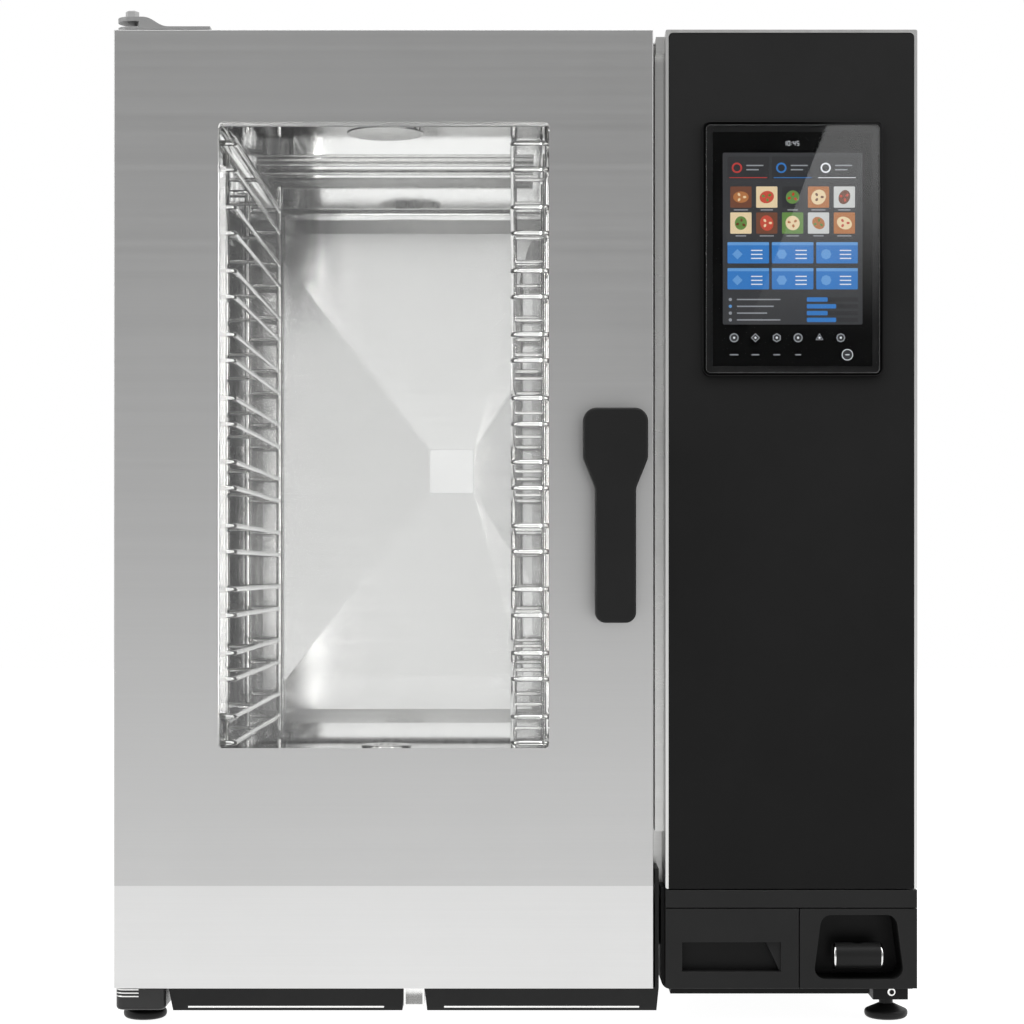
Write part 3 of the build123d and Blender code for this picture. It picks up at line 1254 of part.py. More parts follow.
with BuildPart() as foot_brackets:
    for outward, depth, top_z in (
        (1, FOOT_FRONT_D, HOUSING_Z0),
        (-1, FOOT_REAR_D, BASE_Z),
        (1, FOOT_REAR_D, BASE_Z),
    ):
        centre_x = outward * FOOT_X
        x0, x1 = sorted((centre_x - outward * BRACKET_INNER, centre_x + outward * BRACKET_OUTER))
        block(
            x0, x1, depth - BRACKET_DEPTH / 2, depth + BRACKET_DEPTH / 2, top_z - BRACKET_PLATE, top_z
        )
        block(x0, x1, depth - BRACKET_INNER, depth + BRACKET_INNER, BRACKET_Z, top_z - BRACKET_PLATE)
    block(
        FOOT_X - BRACKET_INNER,
        FOOT_X + BRACKET_OUTER,
        BRACKET_FRONT_D,
        FOOT_FRONT_D + BRACKET_DEPTH / 2,
        BRACKET_Z,
        HOUSING_Z0,
    )
    for outward, depth in ((1, FOOT_FRONT_D), (-1, FOOT_REAR_D), (1, FOOT_REAR_D)):
        rod_up(
            outward * FOOT_X,
            depth,
            BRACKET_Z,
            FOOT_STEM_TOP + SEAT_GAP,
            FOOT_STEM_R + FIT_GAP,
            mode=Mode.SUBTRACT,
        )
    rod_back(
        BRACKET_SCREW_X,
        BRACKET_SCREW_Z,
        BRACKET_FRONT_D,
        BRACKET_FRONT_D + SCREW_TAIL,
        SCREW_R,
        mode=Mode.SUBTRACT,
    )
save(foot_brackets, "foot_brackets")

# ================================================================ control column
COLUMN_HEIGHT = HEIGHT - COLUMN_Z0
COLUMN_Z = COLUMN_Z0 + COLUMN_HEIGHT / 2

with BuildPart() as control_housing:
    plate(COLUMN_X, COLUMN_Z, COLUMN_WIDTH, COLUMN_HEIGHT, 0, CABINET_D, radius=COLUMN_OUTER_R)
    plate(
        COLUMN_X,
        COLUMN_Z,
        COLUMN_WIDTH - 2 * COLUMN_RIM,
        COLUMN_HEIGHT - 2 * COLUMN_RIM,
        0,
        CABINET_D,
        radius=COLUMN_INNER_R,
        mode=Mode.SUBTRACT,
    )
    block(
        COLUMN_X0 + COLUMN_RIM,
        RIGHT - COLUMN_RIM,
        0,
        CABINET_D,
        COLUMN_Z0,
        COLUMN_Z0 + COLUMN_INNER_R + COLUMN_RIM,
        mode=Mode.SUBTRACT,
    )
save(control_housing, "control_housing")

SCREEN_OPENING_WIDTH = BEZEL_WIDTH - 2 * BEZEL_RIM
SCREEN_OPENING_HEIGHT = BEZEL_HEIGHT - 2 * BEZEL_RIM
DISPLAY_WIDTH = SCREEN_OPENING_WIDTH - 2 * DISPLAY_BORDER
DISPLAY_HEIGHT = SCREEN_OPENING_HEIGHT - 2 * DISPLAY_BORDER
BEZEL_FRONT_D = FASCIA_INSET - BEZEL_REACH
GLASS_BACK_D = BEZEL_FRONT_D + SCREEN_SINK + SCREEN_GLASS

with BuildPart() as control_fascia:
    plate(
        COLUMN_X,
        COLUMN_Z,
        COLUMN_WIDTH - 2 * (COLUMN_RIM + FASCIA_GAP),
        COLUMN_HEIGHT - 2 * (COLUMN_RIM + FASCIA_GAP),
        FASCIA_INSET,
        FASCIA_INSET + FASCIA,
        radius=COLUMN_INNER_R - FASCIA_GAP,
    )
    block(
        COLUMN_X0 + COLUMN_RIM + FASCIA_GAP,
        RIGHT - COLUMN_RIM - FASCIA_GAP,
        FASCIA_INSET,
        FASCIA_INSET + FASCIA,
        COLUMN_Z0,
        COLUMN_Z0 + COLUMN_INNER_R + COLUMN_RIM,
    )
    plate(
        SCREEN_X,
        SCREEN_Z,
        DISPLAY_WIDTH + 2 * FASCIA_GAP,
        DISPLAY_HEIGHT + 2 * FASCIA_GAP,
        FASCIA_INSET,
        FASCIA_INSET + FASCIA,
        mode=Mode.SUBTRACT,
    )
save(control_fascia, "control_fascia")

with BuildPart() as screen_bezel:
    plate(SCREEN_X, SCREEN_Z, BEZEL_WIDTH, BEZEL_HEIGHT, BEZEL_FRONT_D, FASCIA_INSET, radius=BEZEL_RADIUS)
    fillet(screen_bezel.faces().sort_by(Axis.Y)[0].edges(), radius=BEZEL_ROUND)
    plate(
        SCREEN_X,
        SCREEN_Z,
        SCREEN_OPENING_WIDTH,
        SCREEN_OPENING_HEIGHT,
        BEZEL_FRONT_D,
        FASCIA_INSET,
        radius=BEZEL_RADIUS - BEZEL_RIM,
        mode=Mode.SUBTRACT,
    )
save(screen_bezel, "screen_bezel")

with BuildPart() as screen_glass:
    plate(
        SCREEN_X,
        SCREEN_Z,
        SCREEN_OPENING_WIDTH - 2 * FASCIA_GAP,
        SCREEN_OPENING_HEIGHT - 2 * FASCIA_GAP,
        BEZEL_FRONT_D + SCREEN_SINK,
        GLASS_BACK_D,
        radius=BEZEL_RADIUS - BEZEL_RIM - FASCIA_GAP,
    )
save(screen_glass, "screen_glass")

with BuildPart() as display_module:
    plate(SCREEN_X, SCREEN_Z, DISPLAY_WIDTH, DISPLAY_HEIGHT, GLASS_BACK_D, GLASS_BACK_D + DISPLAY_DEPTH)
save(display_module, "display_module")

# ================================================================ lower housing, drawer, shower
with BuildPart() as lower_trim_band:
    block(COLUMN_X0, RIGHT, 0, MODULE_FACE, TRIM_Z0, HOUSING_Z1)
    fillet(lower_trim_band.faces().sort_by(Axis.Y)[0].edges(), radius=TRIM_ROUND)
save(lower_trim_band, "lower_trim_band")

SKID_X1 = FOOT_X - BRACKET_INNER - HOUSING_SKID

with BuildPart() as lower_housing:
    block(HOUSING_X0, INNER_X1, MODULE_FACE, HOUSING_DEPTH, HOUSING_Z0, HOUSING_Z1)
    fillet(
        lower_housing.edges().filter_by(Axis.Y).group_by(Axis.Z)[0].sort_by(Axis.X)[0],
        radius=HOUSING_CORNER,
    )
    block(
        HOUSING_X0 + HOUSING_CORNER,
        SKID_X1,
        MODULE_FACE,
        MODULE_FACE + HOUSING_SKID_DEPTH,
        HOUSING_Z0 - HOUSING_SKID,
        HOUSING_Z0,
    )
    with BuildSketch(upright(MODULE_FACE)) as bay:
        with Locations(((BAY_X0 + DIVIDER_X0) / 2, (BAY_Z0 + BAY_TOP) / 2)):
            Rectangle(DIVIDER_X0 - BAY_X0, BAY_TOP - BAY_Z0)
        fillet(bay.vertices().group_by(Axis.Y)[0].sort_by(Axis.X)[0], radius=HOUSING_CORNER - HOUSING_WALL)
    extrude(amount=MODULE_FACE - HOUSING_DEPTH + HOUSING_WALL, mode=Mode.SUBTRACT)
    block(
        DIVIDER_X1,
        BAY_X1,
        MODULE_FACE,
        MODULE_FACE + SHOWER_BAY_DEPTH,
        BAY_Z0,
        BAY_TOP,
        mode=Mode.SUBTRACT,
    )
    block(
        DIVIDER_X1,
        BAY_X1,
        MODULE_FACE + SHOWER_BAY_DEPTH + HOUSING_WALL,
        HOUSING_DEPTH,
        BAY_Z0,
        BAY_TOP,
        mode=Mode.SUBTRACT,
    )
    block(
        BAY_X0,
        BAY_X1,
        MODULE_FACE + HOUSING_WALL,
        HOUSING_DEPTH,
        BAY_TOP + HOUSING_WALL,
        HOUSING_Z1 - HOUSING_WALL,
        mode=Mode.SUBTRACT,
    )
save(lower_housing, "lower_housing")

with BuildPart() as drawer_front:
    block(COLUMN_X0, DRAWER_X1, 0, MODULE_FACE, MODULE_Z0, MODULE_Z1)
    fillet(
        drawer_front.edges().filter_by(Axis.Y).group_by(Axis.Z)[0].sort_by(Axis.X)[0],
        radius=MODULE_CORNER,
    )
    fillet(drawer_front.faces().sort_by(Axis.Y)[0].edges(), radius=DOOR_EDGE_R)
    block(GRIP_X0, GRIP_X1, 0, GRIP_SHELF, GRIP_Z0, GRIP_Z1, mode=Mode.SUBTRACT)
    with BuildSketch(upright(0)):
        with BuildLine():
            Polyline(
                (GRIP_X0, GRIP_Z0),
                (GRIP_X1 - DOOR_EDGE_R, GRIP_Z0),
                (GRIP_X1 - GRIP_SLANT, GRIP_Z1),
                (GRIP_X0, GRIP_Z1),
                close=True,
            )
        make_face()
    extrude(amount=-GRIP_DEPTH, mode=Mode.SUBTRACT)
    block(
        GRIP_X0,
        GRIP_X1 - GRIP_SLANT,
        GRIP_LIP,
        GRIP_DEPTH,
        GRIP_Z1,
        GRIP_Z1 + GRIP_HOOK,
        mode=Mode.SUBTRACT,
    )
save(drawer_front, "drawer_front")

with BuildPart() as drawer_tray:
    tray_x0 = BAY_X0 + RUN_GAP
    tray_x1 = DIVIDER_X0 - RUN_GAP
    tray_z0 = BAY_Z0 + RUN_GAP
    block(tray_x0, tray_x1, MODULE_FACE, DRAWER_LENGTH, tray_z0, DRAWER_TRAY_Z1)
    fillet(
        drawer_tray.edges().filter_by(Axis.Y).group_by(Axis.Z)[0].sort_by(Axis.X)[0],
        radius=HOUSING_CORNER - HOUSING_WALL,
    )
    with BuildSketch(upright(MODULE_FACE + DRAWER_WALL)) as hollow:
        with BuildLine():
            Polyline(
                (tray_x0 + DRAWER_WALL, tray_z0 + DRAWER_WALL),
                (tray_x1 - DRAWER_WALL, tray_z0 + DRAWER_WALL),
                (tray_x1 - DRAWER_WALL, DRAWER_TRAY_Z1),
                (tray_x0 + DRAWER_WALL, DRAWER_TRAY_Z1),
                close=True,
            )
        make_face()
        fillet(
            hollow.vertices().group_by(Axis.Y)[0].sort_by(Axis.X)[0],
            radius=HOUSING_CORNER - HOUSING_WALL - DRAWER_WALL,
        )
    extrude(amount=MODULE_FACE - DRAWER_LENGTH + 2 * DRAWER_WALL, mode=Mode.SUBTRACT)
save(drawer_tray, "drawer_tray")


def pocket_prism(margin, d0, d1, mode=Mode.ADD):
    """Prism with the shower pocket's outline, narrower at its top, larger by a margin all round."""
    with BuildSketch(upright(d0)) as outline:
        with BuildLine():
            Polyline(
                (POCKET_X - POCKET_BASE_WIDTH / 2, POCKET_Z0),
                (POCKET_X + POCKET_BASE_WIDTH / 2, POCKET_Z0),
                (POCKET_X + POCKET_TOP_WIDTH / 2, POCKET_Z1),
                (POCKET_X - POCKET_TOP_WIDTH / 2, POCKET_Z1),
                close=True,
            )
        make_face()
        fillet(outline.vertices(), radius=POCKET_CORNER)
        if margin > 0:
            offset(amount=margin)
    extrude(outline.sketch, amount=d0 - d1, mode=mode)


with BuildPart() as shower_pocket:
    block(POCKET_X0, RIGHT, 0, MODULE_FACE, MODULE_Z0, MODULE_Z1)
    fillet(shower_pocket.faces().sort_by(Axis.Y)[0].edges(), radius=DOOR_EDGE_R)
    pocket_prism(POCKET_WALL, MODULE_FACE, POCKET_DEPTH + POCKET_WALL)
    pocket_prism(0, 0, POCKET_DEPTH, mode=Mode.SUBTRACT)
    rod_back(
        POCKET_X,
        SHOWER_Z,
        POCKET_DEPTH,
        POCKET_DEPTH + POCKET_WALL,
        SHOWER_HOSE_R + RUN_GAP,
        mode=Mode.SUBTRACT,
    )
save(shower_pocket, "shower_pocket")

SHOWER_X0 = POCKET_X - SHOWER_LENGTH / 2
SHOWER_X1 = POCKET_X + SHOWER_LENGTH / 2
SHOWER_BACK_D = SHOWER_D + SHOWER_R

with BuildPart() as shower_head:
    rod_across(SHOWER_X0, SHOWER_X1, SHOWER_D, SHOWER_Z, SHOWER_R)
    rod_back(POCKET_X, SHOWER_Z, SHOWER_D, SHOWER_BACK_D + SHOWER_NECK, SHOWER_NECK_R)
    thumb_z = SHOWER_Z + SHOWER_R + SHOWER_THUMB_R - SHOWER_THUMB_DEPTH
    with Locations(at(POCKET_X, SHOWER_D, thumb_z)):
        Sphere(SHOWER_THUMB_R, mode=Mode.SUBTRACT)
save(shower_head, "shower_head")

with BuildPart() as shower_rings:
    rod_across(SHOWER_X0 - SHOWER_RING, SHOWER_X0, SHOWER_D, SHOWER_Z, SHOWER_R)
    rod_across(SHOWER_X1, SHOWER_X1 + SHOWER_RING, SHOWER_D, SHOWER_Z, SHOWER_R)
    ring_faces = shower_rings.faces().sort_by(Axis.X)
    fillet(ring_faces[0].edges() + ring_faces[-1].edges(), radius=0.8 * SHOWER_RING)
save(shower_rings, "shower_end_rings")

REEL_X0 = DIVIDER_X1 + REEL_AXLE
REEL_X1 = BAY_X1 - REEL_AXLE

with BuildPart() as shower_hose:
    rod_back(
        POCKET_X, SHOWER_Z, SHOWER_BACK_D + SHOWER_NECK, REEL_D - REEL_R - RUN_GAP, SHOWER_HOSE_R
    )
save(shower_hose, "shower_hose")

with BuildPart() as hose_reel:
    rod_across(DIVIDER_X1, BAY_X1, REEL_D, REEL_Z, REEL_AXLE_R)
    rod_across(REEL_X0, REEL_X1, REEL_D, REEL_Z, REEL_CORE_R)
    rod_across(REEL_X0, REEL_X0 + REEL_RIM, REEL_D, REEL_Z, REEL_R)
    rod_across(REEL_X1 - REEL_RIM, REEL_X1, REEL_D, REEL_Z, REEL_R)
save(hose_reel, "hose_reel")

# ================================================================ drip channels
DRIP_LAP_Z = BASE_Z + DRIP_LAP


def drip_channel(x0, x1, slants, upstand):
    """Open channel under the door with slanted ends and a back plate hooked on the cabinet's front."""
    start_slant, end_slant = slants
    with BuildPart() as channel:
        with BuildSketch(upright(DRIP_D)) as outline:
            with BuildLine():
                Polyline(
                    (x0, DRIP_Z1),
                    (x0 + start_slant, DRIP_Z0),
                    (x1 - end_slant, DRIP_Z0),
                    (x1, DRIP_Z1),
                    close=True,
                )
            make_face()
        extrude(outline.sketch, amount=DRIP_D - CABINET_D)
        block(
            x0 + start_slant + DRIP_WALL,
            x1 - end_slant - DRIP_WALL,
            DRIP_D + DRIP_WALL,
            CABINET_D - DRIP_WALL,
            DRIP_Z0 + DRIP_WALL,
            DRIP_Z1,
            mode=Mode.SUBTRACT,
        )
        block(x0, x1, CABINET_D - DRIP_WALL, CABINET_D, DRIP_Z1, DRIP_LAP_Z)
        if upstand > 0:
            block(x1 - upstand, x1, DRIP_D, CABINET_D, DRIP_Z1, DRIP_UPSTAND_Z)
    return channel


left_channel = drip_channel(DRIP_LEFT_X0, DRIP_LEFT_X1, DRIP_SLANTS[:2], 0)
right_channel = drip_channel(DRIP_RIGHT_X0, DRIP_RIGHT_X1, DRIP_SLANTS[2:], DRIP_UPSTAND)

with BuildPart() as drip_channels:
    add(left_channel.part)
    add(right_channel.part)
save(drip_channels, "drip_channels")

with BuildPart() as drip_channel_clip:
    block(DRIP_LEFT_X1, DRIP_RIGHT_X0, DRIP_D, CABINET_D, CLIP_Z0, DRIP_Z1)
    block(
        DRIP_LEFT_X1 + CLIP_WALL,
        DRIP_RIGHT_X0 - CLIP_WALL,
        DRIP_D,
        CLIP_POCKET_D,
        CLIP_Z0 + CLIP_WALL,
        DRIP_Z1 - CLIP_WALL,
        mode=Mode.SUBTRACT,
    )
    block(DRIP_LEFT_X1, DRIP_RIGHT_X0, CABINET_D - CLIP_WALL, CABINET_D, DRIP_Z1, DRIP_LAP_Z)
save(drip_channel_clip, "drip_channel_clip")

# ================================================================ service compartment
with BuildPart() as power_module:
    power_x0 = INNER_X1 - POWER_WIDTH
    block(power_x0, INNER_X1, POWER_D, POWER_D + POWER_DEPTH, POWER_Z, POWER_Z + POWER_HEIGHT)
    fin_pitch = (POWER_DEPTH - POWER_FIN) / (POWER_FINS - 1)
    for fin in range(POWER_FINS):
        fin_d = POWER_D + fin * fin_pitch
        block(
            power_x0 - POWER_FIN_REACH,
            power_x0,
            fin_d,
            fin_d + POWER_FIN,
            POWER_Z + POWER_FIN,
            POWER_Z + POWER_HEIGHT - POWER_FIN,
        )
save(power_module, "power_module")

with BuildPart() as water_valve:
    block(
        INLET_X - VALVE_WIDTH / 2,
        INLET_X + VALVE_WIDTH / 2,
        REAR_INNER_D - VALVE_DEPTH,
        REAR_INNER_D,
        INLET_Z - VALVE_HEIGHT / 2,
        INLET_Z + VALVE_HEIGHT / 2,
    )
    rod_up(
        INLET_X,
        REAR_INNER_D - VALVE_DEPTH / 2,
        INLET_Z + VALVE_HEIGHT / 2,
        INLET_Z + VALVE_HEIGHT / 2 + SOLENOID_HEIGHT,
        SOLENOID_R,
    )
    rod_back(INLET_X, INLET_Z, REAR_INNER_D, BODY_DEPTH, INLET_NECK_R)
    with BuildSketch(upright(BODY_DEPTH)):
        with Locations((INLET_X, INLET_Z)):
            RegularPolygon(INLET_NUT_R, 6)
    extrude(amount=-INLET_NUT)
    rod_back(INLET_X, INLET_Z, BODY_DEPTH + INLET_NUT, BODY_DEPTH + INLET_LENGTH, INLET_R)
    rod_back(
        INLET_X, INLET_Z, REAR_INNER_D, BODY_DEPTH + INLET_LENGTH, INLET_BORE_R, mode=Mode.SUBTRACT
    )
save(water_valve, "water_valve")

with BuildPart() as cable_gland:
    rod_back(GLAND_X, GLAND_Z, REAR_INNER_D, BODY_DEPTH, GLAND_NECK_R)
    with BuildSketch(upright(BODY_DEPTH)):
        with Locations((GLAND_X, GLAND_Z)):
            RegularPolygon(GLAND_R, 6)
    extrude(amount=-GLAND_NUT)
    rod_back(
        GLAND_X,
        GLAND_Z,
        BODY_DEPTH + GLAND_NUT,
        BODY_DEPTH + GLAND_LENGTH,
        GLAND_NECK_R + GLAND_DOME_RISE,
    )
    fillet(cable_gland.faces().sort_by(Axis.Y)[-1].edges(), radius=GLAND_DOME_ROUND)
    with BuildSketch(upright(REAR_INNER_D)):
        with Locations((GLAND_X, GLAND_Z)):
            RegularPolygon(GLAND_R, 6)
    extrude(amount=GLAND_NUT)
    rod_back(
        GLAND_X,
        GLAND_Z,
        REAR_INNER_D - GLAND_NUT,
        BODY_DEPTH + GLAND_LENGTH,
        GLAND_BORE_R,
        mode=Mode.SUBTRACT,
    )
save(cable_gland, "cable_gland")
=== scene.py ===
"""Looks of a combi steamer oven for ten trays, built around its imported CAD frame."""

import logging
import math
from dataclasses import dataclass, field
from enum import Enum

import bmesh
import bpy
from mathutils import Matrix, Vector


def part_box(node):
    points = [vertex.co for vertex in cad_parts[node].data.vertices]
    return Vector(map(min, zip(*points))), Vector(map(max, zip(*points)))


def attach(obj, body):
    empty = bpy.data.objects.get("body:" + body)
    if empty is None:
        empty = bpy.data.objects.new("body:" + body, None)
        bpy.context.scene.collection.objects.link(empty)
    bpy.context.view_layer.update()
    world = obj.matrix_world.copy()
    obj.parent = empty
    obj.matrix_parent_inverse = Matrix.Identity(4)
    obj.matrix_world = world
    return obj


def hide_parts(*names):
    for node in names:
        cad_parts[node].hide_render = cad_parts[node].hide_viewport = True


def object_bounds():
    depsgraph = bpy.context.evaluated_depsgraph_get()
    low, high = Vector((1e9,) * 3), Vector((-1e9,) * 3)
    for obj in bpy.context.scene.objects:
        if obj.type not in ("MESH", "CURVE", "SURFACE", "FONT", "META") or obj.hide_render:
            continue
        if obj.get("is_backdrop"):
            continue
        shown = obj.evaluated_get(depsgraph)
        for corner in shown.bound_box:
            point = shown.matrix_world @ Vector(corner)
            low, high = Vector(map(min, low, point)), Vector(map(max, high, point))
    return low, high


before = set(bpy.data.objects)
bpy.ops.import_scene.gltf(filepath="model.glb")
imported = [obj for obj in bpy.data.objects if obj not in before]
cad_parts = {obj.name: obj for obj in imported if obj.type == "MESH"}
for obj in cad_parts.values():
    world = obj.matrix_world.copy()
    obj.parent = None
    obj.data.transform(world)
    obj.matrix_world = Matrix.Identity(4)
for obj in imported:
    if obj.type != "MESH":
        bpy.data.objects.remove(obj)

LOG = logging.getLogger("oven")
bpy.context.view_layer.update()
MM = 0.001
CABINET = "cabinet"

Colour = tuple[float, float, float]
Point = tuple[float, float, float]
Flat = tuple[float, float]


def srgb(red: float, green: float, blue: float) -> Colour:
    """Turn display values from 0 to 255 into the linear colour that a shader takes.

    Args:
        red: Red display value.
        green: Green display value.
        blue: Blue display value.

    Returns:
        The linear colour.
    """
    def linear(value: float) -> float:
        """Linear share of one display value."""
        share = value / 255
        return share / 12.92 if share <= 0.04045 else ((share + 0.055) / 1.055) ** 2.4

    return linear(red), linear(green), linear(blue)


def grey(value: float) -> Colour:
    """Linear neutral colour of one display value."""
    return srgb(value, value, value)


# ------------------------------------------------------------------ node trees
class Graph:
    """Short hand for wiring the nodes of one tree."""

    def __init__(self, tree: bpy.types.NodeTree) -> None:
        """Keep the tree and empty it."""
        self.tree = tree
        tree.nodes.clear()

    def node(self, kind: str, **values: object) -> bpy.types.Node:
        """Add a node and set its own properties.

        Args:
            kind: Blender's type name without the ShaderNode prefix, or a whole type name.
            **values: Properties of the node.

        Returns:
            The new node.
        """
        whole = kind if kind.startswith("NodeGroup") else "ShaderNode" + kind
        made = self.tree.nodes.new(whole)
        for name, value in values.items():
            setattr(made, name, value)
        return made

    def feed(self, target: bpy.types.NodeSocket, source: object) -> None:
        """Link a socket, or set its value when the source is a plain number, colour or vector.

        Args:
            target: Socket that takes the link or the value.
            source: Socket, number, colour or vector.
        """
        if isinstance(source, bpy.types.NodeSocket):
            self.tree.links.new(source, target)
        elif isinstance(source, (tuple, list)) and len(source) == 3 and target.type == "RGBA":
            target.default_value = (*source, 1.0)
        else:
            target.default_value = source

    def sum(self, operation: str, first: object, second: object = 0.0,
            third: object = None) -> bpy.types.NodeSocket:
        """Math node with one to three operands.

        Args:
            operation: Blender's name of the operation.
            first: First operand, a socket or a number.
            second: Second operand.
            third: Third operand, for the operations that have one.

        Returns:
            The result's socket.
        """
        made = self.node("Math", operation=operation)
        self.feed(made.inputs[0], first)
        self.feed(made.inputs[1], second)
        if third is not None:
            self.feed(made.inputs[2], third)
        return made.outputs[0]

    def span(self, value: object, low: object, high: object, to_low: object = 0.0,
             to_high: object = 1.0, smooth: bool = False) -> bpy.types.NodeSocket:
        """Map a value from one range to another and clamp it.

        Args:
            value: The value to map.
            low: Start of its range.
            high: End of its range.
            to_low: Start of the new range.
            to_high: End of the new range.
            smooth: Whether the step is eased at both ends.

        Returns:
            The mapped value's socket.
        """
        made = self.node("MapRange", interpolation_type="SMOOTHSTEP" if smooth else "LINEAR")
        for name, source in (("Value", value), ("From Min", low), ("From Max", high),
                             ("To Min", to_low), ("To Max", to_high)):
            self.feed(made.inputs[name], source)
        return made.outputs["Result"]

    def blend(self, share: object, first: object, second: object, kind: str = "MIX") -> bpy.types.NodeSocket:
        """Mix two colours.

        Args:
            share: Share of the second colour.
            first: First colour.
            second: Second colour.
            kind: Blend type.

        Returns:
            The mixed colour's socket.
        """
        made = self.node("Mix", data_type="RGBA", blend_type=kind)
        self.feed(made.inputs[0], share)
        self.feed(made.inputs[6], first)
        self.feed(made.inputs[7], second)
        return made.outputs[2]

    def place(self, scale: object) -> bpy.types.NodeSocket:
        """Take the object coordinates times a scale along each axis.

        Args:
            scale: Scale along X, Y and Z.

        Returns:
            The scaled vector's socket.
        """
        coordinates = self.node("TexCoord")
        mapping = self.node("VectorMath", operation="MULTIPLY")
        self.feed(mapping.inputs[0], coordinates.outputs["Object"])
        self.feed(mapping.inputs[1], scale)
        return mapping.outputs[0]

    def noise(self, vector: object, scale: object, detail: float = 3.0,
              roughness: float = 0.55) -> bpy.types.NodeSocket:
        """Noise value at a vector.

        Args:
            vector: Place in the noise.
            scale: Waves per metre.
            detail: Octaves.
            roughness: Share of each finer octave.

        Returns:
            The noise's socket.
        """
        made = self.node("TexNoise")
        self.feed(made.inputs["Vector"], vector)
        self.feed(made.inputs["Scale"], scale)
        made.inputs["Detail"].default_value = detail
        made.inputs["Roughness"].default_value = roughness
        return made.outputs[0]


